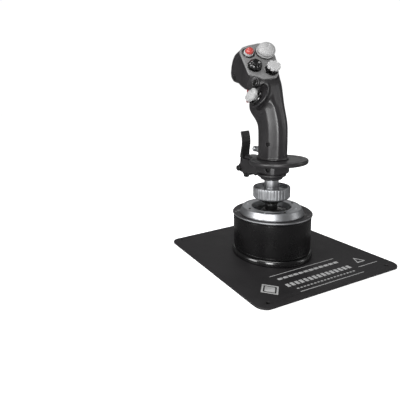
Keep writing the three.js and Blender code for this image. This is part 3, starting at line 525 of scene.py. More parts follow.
ink = [bar(-53.5, 54.6, -58.0, 0.9), bar(-45.4, 56.0, -99.8, 0.9), bar(61.8, 94.7, -88.6, 0.9)]
for x0, x1, y, h, w, gap in ((-48.5, 51, -67.4, 3.8, 6.4, 1.6), (-50, 53.5, -83.0, 6.6, 4.4, 2.3), (-44, 49, -93.2, 1.7, 3.2, 2.0)):
    n = int((x1 - x0 + gap) / (w + gap))
    step = (x1 - x0 + gap) / n
    ink += [bar(x0 + i * step, x0 + (i + 1) * step - gap, y, h, 0.35) for i in range(n)]
parts = [plate2d(o, [], P1 + 0.02, P1 + 0.16, 0.04, 1) for o in ink]
dia = lambda cx, cy, r: [(cx + r, cy), (cx, cy + r), (cx - r, cy), (cx, cy - r)]
parts.append(plate2d(fillet(dia(-73, -80.5, 13.5), 1, 3, True), [fillet(dia(-73, -80.5, 10.6), 0.8, 3, True)], P1 + 0.02, P1 + 0.16, 0.04, 1))
parts.append(plate2d(fillet(dia(-73, -80.5, 8.2), 0.8, 3, True), [], P1 + 0.02, P1 + 0.16, 0.04, 1))
tri = lambda cx, cy, r: [(cx + r * math.sin(a), cy + r * math.cos(a)) for a in (0, 2 * math.pi / 3, 4 * math.pi / 3)]
parts.append(plate2d(fillet(tri(77.5, -76.5, 8.5), 0.8, 3, True), [fillet(tri(77.5, -76.5, 5.6), 0.5, 3, True)], P1 + 0.02, P1 + 0.16, 0.04, 1))
V, F = joined(*parts)
make("plate_print", V, F, "print_white", "base", smooth=30)

# pad with a shallow grid of square studs on its underside
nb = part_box("non_slip_pad")
pz0, pz1, ph = nb[0].z / MM, nb[1].z / MM, nb[1].x / MM
parts = [plate2d(rounded_square(ph, 9), [], pz0 + 0.35, pz1, 0.1, 1)]
for i in range(-6, 7):
    for j in range(-6, 7):
        parts.append(plate2d([(i * 15 - 5.5, j * 15 - 5.5), (i * 15 + 5.5, j * 15 - 5.5), (i * 15 + 5.5, j * 15 + 5.5), (i * 15 - 5.5, j * 15 + 5.5)],
                             [], pz0, pz0 + 0.45, 0.1, 1))
V, F = joined(*parts)
make("pad", V, F, "pad_rubber", "base", "non_slip_pad", smooth=30)

# foot casting: rounded rim, a polished groove under the drum
FOOT_R, FZ0, FZ1 = 54.2, 4.1, 12.6
prof = fillet([(0, FZ0), (FOOT_R - 0.2, FZ0), (FOOT_R, 6.4), (FOOT_R, 9.2), (53.4, 11.2), (52.0, 12.2), (50.4, FZ1), (46.5, FZ1), (46.5, 8.2), (0, 8.2)],
              [0, 0.5, 1.5, 2.0, 2.0, 1.5, 0.5, 0.3, 0.3, 0], 4)
V, F = lathe(prof, 144)
make("foot_ring", V, F, "foot_gloss", "base", "base_foot_ring", smooth=40)

prof = fillet([(48.6, 12.9), (51.0, 12.9), (51.6, 13.7), (51.6, 15.2), (51.15, 15.6), (51.15, 16.2), (51.6, 16.6), (51.6, 62.4), (51.2, 62.8), (51.2, 63.4), (51.6, 63.8), (51.6, 64.5), (51.2, 64.9), (48.6, 64.9)],
              [0, .4, .4, .2, .15, .15, .2, .2, .15, .15, .2, .2, .2, 0], 3)
V, F = lathe(prof, 160)
make("drum", V, F, "body_black", "base", "base_housing", smooth=40)

prof = fillet([(28.5, 65.2), (52.2, 65.2), (52.8, 65.8), (52.8, 66.7), (52.1, 67.4), (50.6, 67.3), (47.6, 66.5), (47.2, 66.2), (43.0, 65.6), (28.5, 65.6)],
              [0.1, 0.3, 0.3, 0.3, 0.4, .5, .2, .3, .1, 0.1], 3)
V, F = lathe(prof, 160)
make("lid", V, F, "cover_grey", "base", "top_cover", smooth=40)
V, F = lathe(fillet([(52.15, 67.36), (52.86, 66.66), (52.86, 65.95), (52.7, 65.9), (52.7, 66.6), (52.1, 67.2)], 0.05, 2), 160)
make("lid_rim", V, F, "bright_metal", "base", smooth=60)

# bright conical ring with recessed top, small screws and slots
prof = fillet([(25.8, 67.7), (34, 67.7), (34, 65.75), (42.4, 65.75), (42.5, 67.2), (41.9, 67.9), (39.2, 75.0), (38.6, 75.6), (36.4, 75.6), (36.0, 75.2), (29.6, 75.2), (29.2, 75.6), (26.8, 75.6), (25.8, 74.6)],
              [0.1, 0.1, 0.2, 0.35, 0.4, 0.4, 0.4, 0.3, 0.15, 0.15, 0.15, 0.15, 0.4, 0.3], 4)
V, F = lathe(prof, 160)
make("bezel", V, F, "bright_metal", "base", "bezel_ring", smooth=40)
for k in range(4):
    a = 0.6 + k * math.pi / 2
    part = moved(screw(2.2, 1.5, 1.0, 0.9, 1.25, 4.5), shift(32.8 * math.cos(a), 32.8 * math.sin(a), 74.05))
    make("ring_screw_%d" % (k + 1), part[0], part[1], "bright_metal", "base", "bezel_screw_%d" % (k + 1), smooth=30)
parts = []
for k in range(4):
    a = 0.6 + math.pi / 4 + k * math.pi / 2
    parts.append(moved(screw(1.5, 0.7, 0.7, 0.4), shift(32.8 * math.cos(a), 32.8 * math.sin(a), 75.22)))
V, F = joined(*parts)
make("ring_rivets", V, F, "dark_screw", "base", smooth=30)

# cable outlet
V, F = lathe(fillet([(2.3, 0), (7.2, 0), (7.2, 1.6), (5, 1.6), (5, 6.3), (7.2, 6.3), (7.2, 8.0), (6.2, 8.4), (5.8, 9.4), (3.0, 9.4), (2.3, 8.8)], 0.25, 3), 48)
make("gland", V, F, "black_plastic", "base", "cable_gland", smooth=40, xf=ALONG_Y(0, 24, 45.6))

# ribbed dark ball seen down the ring
def ball_profile():
    out = [(0, 42.0), (16, 42.0)]
    for k in range(0, 45):
        d = math.radians(-24 + k * 2.0)
        if d > math.radians(62):
            break
        r = 20.0 - (0.55 if (k // 2) % 2 and d > 0.1 else 0.0)
        out.append((r * math.cos(d), 54 + r * math.sin(d)))
    out += [(8.3, out[-1][1]), (8.3, 46.0), (0, 46.0)]
    return out
ball = joined(lathe(ball_profile(), 96), moved(lathe([(0, -28.5), (3, -28.5), (3, -16), (0, -16)], 24), ALONG_Y(0, 54)),
              moved(lathe([(0, 16), (3, 16), (3, 28.5), (0, 28.5)], 24), ALONG_Y(0, 54)))
make("ball", ball[0], ball[1], "black_plastic", "stick", "gimbal_ball", smooth=30)

# ---------------------------------------------------------------- stick below the grip
thread = [(8.3, 81)] + [(10.5, 81), (15.2, 84.4)]
z = 85.0
while z < 94.0:
    thread += [(16.7, z), (17.5, z + 0.35), (16.7, z + 0.7)]
    z += 0.9
thread += [(16.7, 94.4), (8.3, 94.4)]
V, F = lathe(thread, 96)
make("hub", V, F, "dark_screw", "stick", "thread_hub", smooth=25)
V, F = lathe(fillet([(0, 46.3), (8, 46.3), (8, 88), (0, 88)], 0.3, 2), 48)
make("post", V, F, "gloss_black", "stick", "stick_post", smooth=40)

def flutes(th, r, z):
    if r < 22.6 or z < 90.2 or z > 104.6:
        return np.full(len(th), r)
    n = 34
    ph = (th * n / (2 * math.pi)) % 1.0
    gr = np.exp(-((ph - 0.5) / 0.15) ** 4)
    k = np.floor(th * n / (2 * math.pi)).astype(int) % n
    dep = np.array([0.45, 0.62, 0.4, 0.55, 0.65, 0.42, 0.5, 0.6])[k % 8]
    e = min(1.0, max(0.0, (z - 90.2) / 0.8), max(0.0, (104.6 - z) / 0.8))
    return r - gr * dep * e
prof = [(17.8, 88.4), (22.2, 88.4), (22.6, 88.55), (23.4, 89.2), (24.0, 89.9), (24.3, 90.5), (24.4, 91.2), (24.4, 92.0), (24.4, 95.5), (24.4, 98.2),
        (24.4, 101), (24.4, 103.3), (24.3, 103.9), (24.0, 104.5), (23.5, 105.1), (23.1, 105.3), (22.4, 105.3), (22.1, 105.0)]
z = 104.4
while z > 101.4:
    prof += [(22.35, z), (22.05, z - 0.3), (22.05, z - 0.5)]
    z -= 0.9
prof += [(21.8, 100.9), (21.3, 100.6), (18.6, 100.6), (18.3, 100.3), (17.4, 100.3), (17.1, 100.6), (10.2, 100.6), (9.8, 100.2), (9.8, 98.2), (10.0, 98.0), (17.8, 98.0)]
V, F = lathe(prof, 288, flutes)
make("nut", V, F, "nut_metal", "collar_nut", "collar_nut", smooth=28)

V, F = lathe(fillet([(0, 94.7), (17, 94.7), (17, 97.6), (9.4, 97.6), (9.4, 103.4), (9.0, 103.8), (9.0, 104.6), (9.4, 105.0), (9.4, 123.2), (0, 123.2)],
                    [0, .3, .4, .3, .15, .15, .15, .15, .3, 0], 3), 96)
make("shaft", V, F, "bright_metal", "stick", "grip_shaft", smooth=40)

# ---------------------------------------------------------------- neck
def bracket_flat(th, r, z):
    return np.where((r * np.sin(th) > 16.5) & (z > 119.3), 16.5 / np.maximum(np.sin(th), 0.3), r)
V, F = lathe(fillet([(9.7, 115.8), (12.9, 115.8), (13.8, 116.4), (14.5, 117.4), (14.6, 119.0), (15.4, 119.3), (18.0, 120.6), (18.7, 121.4), (18.8, 122.4), (18.8, 123.7), (18.4, 124.2), (0, 124.2), (0, 123.5), (9.7, 123.5)],
                    [.2, .3, .3, .4, .2, .3, .5, .4, .3, .25, .2, 0, 0, 0.1], 3), 120, bracket_flat)
make("neck_collar", V, F, "grip_black", "stick", "neck_ring", smooth=40)

G = Grid((-19, -22, 123.4), (19.5, 18.7, 141.1), 0.45)
NECK = [(-17, -16.5), (-13.5, -20), (8, -20), (14.5, -17), (17.5, -11), (17.5, 8), (14.5, 14), (10, 16.7), (-13, 16.7), (-17, 13)]
d2 = poly_sdf(G.x[:, :, 0], G.y[:, :, 0], NECK)[:, :, None]
taper = np.clip((127.0 - G.z) * 0.55, 0, 3)
f = both(d2 + taper, np.abs(G.z - 132.35) - 7.85, 0.9)
f = np.maximum(f, -cyl(G, (-17, -10.6, 133.6), (1, 0, 0), 4.4, -5, 4.6, 0))
f = np.maximum(f, -cyl(G, (-17, -10.6, 133.6), (1, 0, 0), 2.35, 0, 14, 0))
solid("neck", G, f, "grip_black", "stick", "neck_block")
part = moved(screw(3.1, 2.7, 1.4, 1.4, 2.0, 9.3), ALONG_X(-10.6, 133.6, -17) @ np.diag([1, 1, -1, 1.0]) @ shift(0, 0, -4.3))
make("neck_bolt", part[0], part[1], "dark_screw", "stick", "neck_screw", smooth=30)

# ---------------------------------------------------------------- hand rest
REST_C, REST_R, RZ0, RZ1 = (2.8, -8.2), 37.2, 140.5, 145.0
G = Grid((-36, -47, 138.2), (41.5, 51, 145.6), 0.4)
rad = np.sqrt((G.x - REST_C[0]) ** 2 + (G.y - REST_C[1]) ** 2)
tongue = poly_sdf(G.x[:, :, 0], G.y[:, :, 0], [(-9.5, 5), (9.5, 5), (9.5, 46), (6, 49.5), (-6, 49.5), (-9.5, 46)])[:, :, None]
outline = smin(rad - REST_R, tongue, 5.0)
dish = 0.75 * np.exp(-((rad - 31.2) / 2.2) ** 2)
f = both(outline, np.maximum(G.z - RZ1 + dish, RZ0 - G.z), 1.9)
lip = both(np.maximum(rad - REST_R, 32.2 - rad), np.maximum(G.z - RZ1 + dish, 138.95 - G.z), 2.4)
lip = np.maximum(lip, G.y - 12)
f = smin(f, lip, 0.6)
f = np.maximum(f, RZ0 + 0.02 - G.z - 1.6 * (rad > 31.5) * (G.y < 12.5))
f = np.maximum(f, G.z - RZ1 + 0.02)
solid("rest", G, f, "grip_black", "stick", "hand_rest")

# ---------------------------------------------------------------- grip and head
FACE_P = np.array([-1, 20.4, 277.5]); FACE_N = np.array([-0.136, -0.769, 0.625]); FACE_N /= np.linalg.norm(FACE_N)
FACE_R = np.array([0.985, -0.174, 0]); FACE_R /= np.linalg.norm(FACE_R)
FACE_U = np.cross(FACE_N, FACE_R); FACE_U /= np.linalg.norm(FACE_U)
EAR_P = np.array([-19.6, 8.4, 229.8]); EAR_N = np.array([-0.84, 0.08, 0.53]); EAR_N /= np.linalg.norm(EAR_N)
MODE_P = np.array([-21, 9.0, 249.6]); MODE_N = np.array([-0.95, -0.05, 0.3]); MODE_N /= np.linalg.norm(MODE_N)
def on_face(r, u, h=0.0):
    return FACE_P + r * FACE_R + u * FACE_U + h * FACE_N
TRIM, RELEASE, BLACK, CASTLE = (9.8, 15.6), (-13.8, 17.2), (-14, -7.8), (7, -17)

ROWS = np.array([[145.3, -20.8, 19.6, 14.6], [168, -21.2, 19.5, 14.4], [185, -20.8, 19.7, 14.4], [193, -20, 20.8, 14.5],
    [200, -18.7, 25.5, 14.7], [207, -17, 33, 15], [213, -15.3, 38, 15.4], [220, -13, 38.6, 16], [228, -10.5, 36, 16.8],
    [236, -8, 34, 17.6], [246, -4.6, 34.5, 18.6], [254, 0, 36, 19.4], [262, 6, 40, 19.4]])
G = Grid((-37, -26, 144.4), (26, 77, 306.5), 0.85)
zz = G.z.ravel()
zs = np.linspace(140, 306, 400)
def smooth_row(c, w=5.0):
    y = np.interp(zs, ROWS[:, 0], ROWS[:, c])
    k = int(w / (zs[1] - zs[0])) | 1
    pad = np.pad(y, k // 2, mode="edge")
    y2 = np.convolve(pad, np.ones(k) / k, mode="valid")
    pad = np.pad(y2, k // 2, mode="edge")
    return np.interp(zz, zs, np.convolve(pad, np.ones(k) / k, mode="valid"))[None, None, :].astype(np.float32)
yb, yf, hw = smooth_row(1), smooth_row(2), smooth_row(3)
cy, b = (yb + yf) / 2, (yf - yb) / 2

def section(off, p):
    ax = np.abs(G.x) / (hw - off); ay = np.abs(G.y - cy) / (b - off)
    return (ax ** p + ay ** p) ** (1.0 / p)
def dist_of(Fn):
    gx, gy, gz = np.gradient(Fn, G.h)
    return (Fn - 1) / np.maximum(np.sqrt(gx * gx + gy * gy + gz * gz), 1e-3)
grip = dist_of(section(0, 2.5))
boxy = dist_of(section(0, 4.0))
wl = np.clip((-G.x) / 6.0, 0, 1) * np.clip((-(G.y - cy)) / 6.0, 0, 1)
grip = grip * (1 - wl) + boxy * wl
# crisp ridge down the rear left edge, then a rounded back
fac1 = -0.94 * G.x - 0.34 * G.y - (0.94 * hw - 0.34 * (yb + 12.0))
fac2 = -0.75 * G.x - 0.66 * G.y - (0.75 * (hw - 2.0) - 0.66 * (yb + 6.5))
up = np.clip((G.z - 214) / 26.0, 0, 1)
flat = smax(fac1, fac2, 3.5) - 6.0 * up * up * (3 - 2 * up)
wl = np.clip((G.x + 9.5) / 4.5, 0, 1)                           # the flat runs out softly into the rounded back
grip = smax(grip, flat, 0.35) * (1 - wl) + smax(grip, flat, 4.0) * wl
core = dist_of(section(3.2, 2.5))
foot = both(dist_of(section(-1.3, 3.0)), G.z - 147.3, 0.9)
grip = np.minimum(grip, smax(foot, -0.94 * G.x - 0.34 * G.y - (0.94 * (hw + 1.3) - 0.34 * (yb + 11.0)), 0.5))
grip = np.maximum(grip, 145.3 - G.z)
core = np.maximum(np.maximum(core, 150 - G.z), np.maximum(G.z - 264, G.y - 33))

HEAD = [(1, 251), (41.5, 304.2), (45, 302.6), (50, 299.6), (58.5, 294.6), (66, 287.2), (70.4, 278.6), (72.6, 268.6),
        (71, 261.4), (64.8, 255.4), (57, 253.2), (50.4, 252), (41.5, 247), (30, 242), (8, 244)]
hd2 = poly_sdf(G.y[0], G.z[0], fillet(HEAD, [2, 3, 2, 2, 4, 4, 4, 4, 4, 4, 4, 4, 6, 6, 4], 5, True))[None]
xl = np.interp(G.y, [10, 30, 72], [24.6, 22.6, 14.6]).astype(np.float32)
xr = np.interp(G.y, [10, 30, 72], [22.0, 20.4, 13.6]).astype(np.float32)
side = np.maximum(-G.x - xl, G.x - xr)
head = both(hd2, side, 4.5)
pv = [G.x - FACE_P[0], G.y - FACE_P[1], G.z - FACE_P[2]]
fr = sum(pv[i] * FACE_R[i] for i in range(3)); fu = sum(pv[i] * FACE_U[i] for i in range(3)); hf = sum(pv[i] * FACE_N[i] for i in range(3))
FACE_PTS = [(-24.6, 22.6), (-18.9, 29.2), (-9.4, 32), (6.6, 34.6), (17, 33.5), (22.4, 27), (23, 8), (20.6, -9.3), (16.2, -23.5),
            (10.4, -30), (-7.3, -30.2), (-14.6, -23.6), (-25, -18.8)]
fo = poly_sdf(G.full(fr), G.full(fu), FACE_PTS)
head = smax(head, fo - 0.25 - 0.32 * np.clip(-(hf + 3.3), 0, 40), 1.4)
head = np.maximum(head, hf + 3.3)
grip = np.maximum(grip, G.z - 262)
grip = np.maximum(grip, np.where(G.z > 252, hf + 3.3, -1e3))

# ear: rounded boss round the side hat that runs up to the mode button
A_, B_ = EAR_P, MODE_P
ab = B_ - A_
t = np.clip(((G.x - A_[0]) * ab[0] + (G.y - A_[1]) * ab[1] + (G.z - A_[2]) * ab[2]) / float(ab @ ab), 0, 1)
C = [A_[i] + t * ab[i] for i in range(3)]
Nn = [EAR_N[i] * (1 - t) + MODE_N[i] * t for i in range(3)]
ln = np.sqrt(Nn[0] ** 2 + Nn[1] ** 2 + Nn[2] ** 2)
Nn = [c / ln for c in Nn]
q = [G.x - C[0], G.y - C[1], G.z - C[2]]
hh = q[0] * Nn[0] + q[1] * Nn[1] + q[2] * Nn[2]
rr = np.sqrt(np.maximum(q[0] ** 2 + q[1] ** 2 + q[2] ** 2 - hh ** 2, 0))
EAR_C = EAR_P + np.array([1.2, -4.1, 2.5])
e = [G.x - EAR_C[0], G.y - EAR_C[1], G.z - EAR_C[2]]
eh = sum(e[i] * EAR_N[i] for i in range(3)) - float((EAR_P - EAR_C) @ EAR_N)
er = np.sqrt(np.maximum(sum(c * c for c in e) - eh * eh, 0))
rise = 1.9 * np.clip(0.45 - e[1] / 20.0, 0, 1)                  # the rim rises towards the pilot's side
rear = np.clip(-e[1] / 14.0, 0, 1)                              # and melts into the back of the grip
draft = (0.12 + 0.75 * rear) * np.clip(-eh, 0, 22)
ear = both(er - 16.9 + draft, np.maximum(eh - rise, -20 - eh), 0.9)
ear = np.maximum(ear, G.x - 2)
# raised web from the mode button to the rim of the ear
m_ = [G.x - MODE_P[0], G.y - MODE_P[1], G.z - MODE_P[2]]
mh = sum(m_[i] * MODE_N[i] for i in range(3))
mr = np.sqrt(np.maximum(sum(c * c for c in m_) - mh * mh, 0))
web = both(mr - 6.5 + 0.9 * np.clip(-mh, 0, 12), np.maximum(mh - 0.3, -12 - mh), 1.0)
web = np.maximum(web, G.x - 2)
bowl = both((er - 14.2 - np.clip(eh, 0, 3) * 0.5), np.maximum(-eh, eh - 6), 2.0)
f = smin(grip, head, 5.0)
f = smin(smin(f, ear, 4.2), web, 4.2)
f = smax(f, -bowl, 1.4)
f = smax(f, -cyl(G, EAR_P, EAR_N, 12.6, 0, 24), 1.2)
# seat of the face plate
f = np.maximum(f, -np.maximum(-(hf + 3.3), fo - 0.35))
core = np.maximum(core, -np.maximum(-(eh + 3.2), er - 20.0))
f = np.maximum(f, -np.maximum(core, hf + 6.5))
for p, n, r, h0, h1 in ((on_face(*TRIM), FACE_N, 7, -14, 3), (on_face(*RELEASE), FACE_N, 8.0, -8, 3), (on_face(*RELEASE), FACE_N, 6.0, -14, 3), (on_face(*BLACK), FACE_N, 6.4, -14, 3),
                        (on_face(*CASTLE), FACE_N, 6.4, -14, 3), (EAR_P, EAR_N, 6.4, -13, 4), (MODE_P, MODE_N, 4.5, -7, 4)):
    f = np.maximum(f, -cyl(G, p, n, r, h0, h1))
f = np.maximum(f, -box(G, -5.5, 5.5, 37.5, 52.5, 238, 264))
f = np.maximum(f, -cyl(G, (0, 0, 155.7), (0, 1, 0), 4.9, 10, 40))
for (y, z), xh in (((-7, 167), -10.6), ((61.5, 261), -14.0)):
    f = np.maximum(f, -cyl(G, (0, y, z), (1, 0, 0), 2.9, -40, xh))
f = np.maximum(f, -cyl(G, (0, 44, 256), (1, 0, 0), 1.8, -12.3, 12.3))
# rounded dish round the nose screw
f = smax(f, -(np.sqrt((G.x + 19.2) ** 2 + (G.y - 61.5) ** 2 + (G.z - 261) ** 2) - 6.4), 0.8)
f = G.full(f)
solid("grip_left", G, np.maximum(f, G.x - 0.6), "grip_black", "stick", "grip_left_half")
solid("grip_right", G, np.maximum(f + 0.06 * np.clip((1.8 - G.x) / 0.8, 0, 1), -0.8 - G.x), "grip_black", "stick", "grip_right_half")
for nm, y, z, x0, rep in (("grip_bolt", -7, 167, -12.7, "grip_screw"), ("nose_bolt", 61.5, 261, -16.1, "nose_screw")):
    part = moved(screw(2.5, 1.8, 1.1, 1.0, 1.3, 18.0), ALONG_X(y, z, x0) @ np.diag([1, 1, -1, 1.0]) @ shift(0, 0, -1.8))
    make(nm, part[0], part[1], "dark_screw", "stick", rep, smooth=30)

# ---------------------------------------------------------------- thumb face
FACE_XF = frame_at(FACE_P, FACE_N, FACE_R)
pts = [(-24.6, 22.6), (-18.9, 29.2), (-9.4, 32), (6.6, 34.6), (17, 33.5), (22.4, 27), (23, 8), (20.6, -9.3), (16.2, -23.5),
       (10.4, -30), (-7.3, -30.2), (-14.6, -23.6), (-25, -18.8)]
outl = fillet(pts, [3, 6, 8, 10, 5, 5, 10, 12, 8, 6, 5, 8, 2.5], 6, True)
V, F = plate2d(outl, [circle(7, 48, TRIM), circle(8.2, 48, RELEASE), circle(6.4, 40, BLACK), circle(6.4, 40, CASTLE)], -3, 0, 0.6, 4)
make("thumb_face", V, F, "face_grey", "stick", "face_plate", smooth=30, xf=FACE_XF)

def at(place):
    return frame_at(on_face(*place), FACE_N, FACE_R)

# trim hat
T = at(TRIM)
V, F = lathe(fillet([(7.4, 0.3), (13.4, 0.3), (13.4, 1.2), (12.2, 2.0), (7.4, 2.0)], 0.3, 3), 96)
make("trim_skirt", V, F, "black_plastic", "stick", "trim_hat_skirt", smooth=40, xf=T)
prof = [(0, -7.5), (2.8, -7.5), (2.8, 4.6), (11.9, 4.6), (12.3, 5.0), (12.3, 5.7), (12.1, 6.6), (11.6, 7.7), (10.7, 9.0),
        (9.4, 10.2), (7.7, 11.2), (5.8, 11.85), (4.1, 12.2), (3.1, 12.3), (2.6, 12.2), (2.0, 11.85), (1.2, 11.65), (0, 11.6)]
V, F = lathe(prof, 96)
make("trim_cap", V, F, "pale_plastic", "trim_hat", "trim_hat", smooth=32, xf=T)
V, F = lathe(fillet([(9.0, 2.02), (12.8, 2.02), (13.1, 2.2), (12.8, 2.4), (9.0, 2.4)], 0.1, 2), 96)
make("trim_ring", V, F, "mid_plastic", "stick", smooth=32, xf=T)
V, F = lathe(fillet([(3.2, 3.3), (6.6, 3.3), (9.3, 4.2), (9.3, 4.5), (3.2, 4.5)], 0.15, 2), 80)
make("trim_neck", V, F, "black_plastic", "trim_hat", smooth=32, xf=T)
# black hat: ribbed dome with a dished top
B = at(BLACK)
def ribs(th, r, z):
    k = 0.8 if (r > 5.4 and z > 2.0) else 0.0
    return r - k * (0.5 - 0.5 * np.cos(th * 9)) ** 3
prof = [(0, -7.5), (2.8, -7.5), (2.8, 2.6), (8.7, 2.6), (9.1, 3.0), (9.3, 3.6), (9.25, 4.6), (8.9, 5.6), (8.2, 6.6), (7.2, 7.5), (6.0, 8.2), (5.0, 8.5), (4.2, 8.3), (3.2, 7.7), (1.6, 7.4), (0, 7.35)]
V, F = lathe(prof, 144, ribs)
make("black_cap", V, F, "gloss_black", "black_hat", "black_hat", smooth=34, xf=B)
V, F = lathe(fillet([(6.6, 0.15), (10.0, 0.15), (9.9, 0.7), (9.2, 1.1), (6.6, 1.1)], 0.2, 3), 80)
make("black_skirt", V, F, "gloss_black", "stick", smooth=40, xf=B)
# castle hat
Cc = at(CASTLE)
cup = lathe(fillet([(0, -7.5), (2.8, -7.5), (2.8, 1.7), (5.0, 1.9), (6.0, 2.6), (7.2, 5.6), (7.3, 6.8), (0, 6.8)], [0, .1, .2, .3, .3, .3, .2, 0], 3), 72)
make("castle_cup", cup[0], cup[1], "gloss_black", "castle_hat", smooth=40, xf=Cc)
V, F = lathe(fillet([(6.6, 0.15), (9.4, 0.15), (9.3, 0.6), (8.4, 0.9), (6.6, 0.9)], 0.2, 3), 80)
make("castle_skirt", V, F, "gloss_black", "stick", smooth=40, xf=Cc)
gear = []
for k in range(8):
    a0 = k * math.pi / 4 + 0.2
    for da, r in ((-0.25, 8.8), (-0.125, 8.8), (0, 8.8), (0.125, 8.8), (0.25, 8.75), (0.31, 7.2), (0.39, 6.9), (0.47, 7.2)):
        gear.append((r * math.cos(a0 + da), r * math.sin(a0 + da)))
capd = plate2d(gear, [], 6.9, 10.2, 0.45, 3)
make("castle_cap", capd[0], capd[1], "mid_plastic", "castle_hat", "castle_hat", smooth=35, xf=Cc)
# side hat
S = frame_at(EAR_P, EAR_N)
V, F = lathe(fillet([(6.7, 0.3), (10.2, 0.3), (10.2, 2.4), (9.3, 3.6), (7.2, 3.6), (6.7, 3.1)], 0.4, 3), 80)
make("side_collar", V, F, "gloss_black", "stick", "side_hat_collar", smooth=40, xf=S)
def notches(th, r, z):
    k = 0.9 if (r > 6.5 and 7.2 < z < 12.1) else 0.0
    return r - k * np.clip(1.25 * (0.5 + 0.5 * np.cos(th * 6)) ** 3, 0, 1)
prof = [(0, -7.4), (2.8, -7.4), (2.8, 2), (4.8, 2), (4.8, 6.6), (8.1, 6.6), (8.8, 6.9), (9.5, 7.6), (9.6, 8.2), (9.6, 10.4), (9.4, 11.0), (8.8, 11.7), (8.1, 12.0), (4.6, 12.0), (4.3, 12.2), (4.0, 13.5), (3.5, 14.0), (0, 14.0)]
V, F = lathe(prof, 144, notches)
make("side_cap", V, F, "pale_plastic", "side_hat", "side_hat", smooth=34, xf=S)
# release button
Rr = at(RELEASE)
V, F = lathe(fillet([(5.9, -2.6), (6.7, -2.6), (6.7, 2.2), (6.4, 2.9), (5.9, 2.9)], 0.25, 3), 72)
make("release_ring", V, F, "mid_plastic", "stick", "release_collar", smooth=40, xf=Rr)
V, F = lathe(fillet([(6.9, -2.6), (8.1, -2.6), (8.1, -0.1), (8.3, 0.15), (9.1, 0.15), (9.2, 0.5), (8.6, 0.9), (8.1, 0.9), (7.0, -1.4)], 0.1, 2), 72)
make("release_well", V, F, "gloss_black", "stick", smooth=40, xf=Rr)
prof = [(0, -5.2), (5.6, -5.2), (5.6, 4.0), (5.5, 4.8), (5.1, 5.8), (4.4, 6.7), (3.4, 7.5), (2.0, 7.95), (0, 8.1)]
V, F = lathe(prof, 72, lambda th, r, z: r - (0.18 * (0.5 + 0.5 * np.cos(th * 16)) if z > 1.2 and r > 4 else 0))
make("release_cap", V, F, "red_plastic", "release_button", "release_button", smooth=40, xf=Rr)
# mode button
Mm = frame_at(MODE_P, MODE_N)
prof = [(0, -5), (4.2, -5), (4.2, 0.6), (4.0, 1.1), (3.4, 1.45), (1.8, 1.25), (0, 1.2)]
V, F = lathe(prof, 56)
make("mode_cap", V, F, "gloss_black", "mode_button", "mode_button", smooth=40, xf=Mm)

# ---------------------------------------------------------------- trigger and pinky button
TRG = [(41, 259), (47.5, 259), (49, 254), (48, 249), (46.9, 243), (46.6, 236), (47.6, 229), (48.6, 224.6), (47.2, 223),
       (44.6, 224.4), (42.2, 229), (41, 236), (41, 243), (41, 250)]
G = Grid((-6, 39.5, 221.5), (6, 50.5, 260.5), 0.4)
d2 = poly_sdf(G.y[0], G.z[0], fillet(TRG, 2.5, 4, True))[None]
f = both(d2, np.abs(G.x) - 5.0, 1.3)
f = np.maximum(f, -cyl(G, (0, 44, 256), (1, 0, 0), 1.8, -10, 10))
for z in (229.5, 233, 236.5, 240, 243.5):
    f = smax(f, -(np.sqrt((G.y - 46.2 + 6.2 - 6.3) ** 2 * 0 + (G.z - z) ** 2 + (G.y - 48.3) ** 2) - 1.3), 0.3)
solid("trigger_blade", G, f, "trigger_red", "trigger", "trigger")
V, F = lathe(fillet([(2.8, 15.4), (4.6, 15.4), (4.6, 20), (5.6, 20.4), (5.6, 23.4), (4.6, 24.4), (4.6, 28.4), (2.8, 28.4)], 0.25, 3), 64)
make("pinky_barrel", V, F, "nut_metal", "stick", "pinky_sleeve", smooth=40, xf=ALONG_Y(0, 155.7))
prof = [(0, 17), (2.4, 17), (2.4, 31.2), (3.8, 31.2), (4.2, 31.6), (4.3, 32.2), (4.3, 32.9), (3.95, 33.2), (3.95, 33.5), (4.3, 33.8), (4.3, 34.6), (4.1, 35.2), (3.6, 35.6), (2.6, 35.6), (2.2, 35.3), (0, 35.2)]
V, F = lathe(prof, 64)
make("pinky_cap", V, F, "bright_metal", "pinky_button", "pinky_button", smooth=30, xf=ALONG_Y(0, 155.7))

# ---------------------------------------------------------------- paddle
CHEEK = [(20, 139.6), (49, 139.6), (55, 134), (60.5, 129.6), (63, 124.4), (61.8, 120.4), (58, 118.6), (52, 117.6), (46.8, 113.4), (42.6, 111.2),
         (38.8, 112.8), (37.4, 117.4), (33, 119.6), (20, 119.2)]
G = Grid((-10.4, 15.8, 110.2), (10.4, 64.2, 140.6), 0.42)
d2 = poly_sdf(G.y[0], G.z[0], fillet(CHEEK, [1, 3, 4, 4, 4, 3, 3, 4, 3, 3, 3, 4, 3, 1], 4, True))[None]
ck = both(d2, np.abs(np.abs(G.x) - 8.0) - 1.3, 0.7)
f = smin(ck, both(box(G, -9.3, 9.3, 17, 22.5, 121.6, 139.6), np.abs(G.x) - 9.3, 0.6), 1.0)
for (y, z), r in (((58, 124), 2.4), ((42.6, 115.4), 1.9)):
    f = np.maximum(f, -cyl(G, (0, y, z), (1, 0, 0), r, -14, 14))
solid("paddle_yoke", G, f, "grip_black", "stick", "paddle_bracket")
def cross_pin(r, rh, tk):
    head = fillet([(r, 9.6), (rh, 9.6), (rh, 9.4 + tk), (rh - 0.6, 9.6 + tk), (rh * 0.45, 9.6 + tk), (rh * 0.4, 9.0 + tk), (0, 9.0 + tk)], [0, .2, .3, .2, .1, .1, 0], 3)
    prof = [(q[0], -q[1]) for q in reversed(head)] + head
    return lathe(prof, 56)
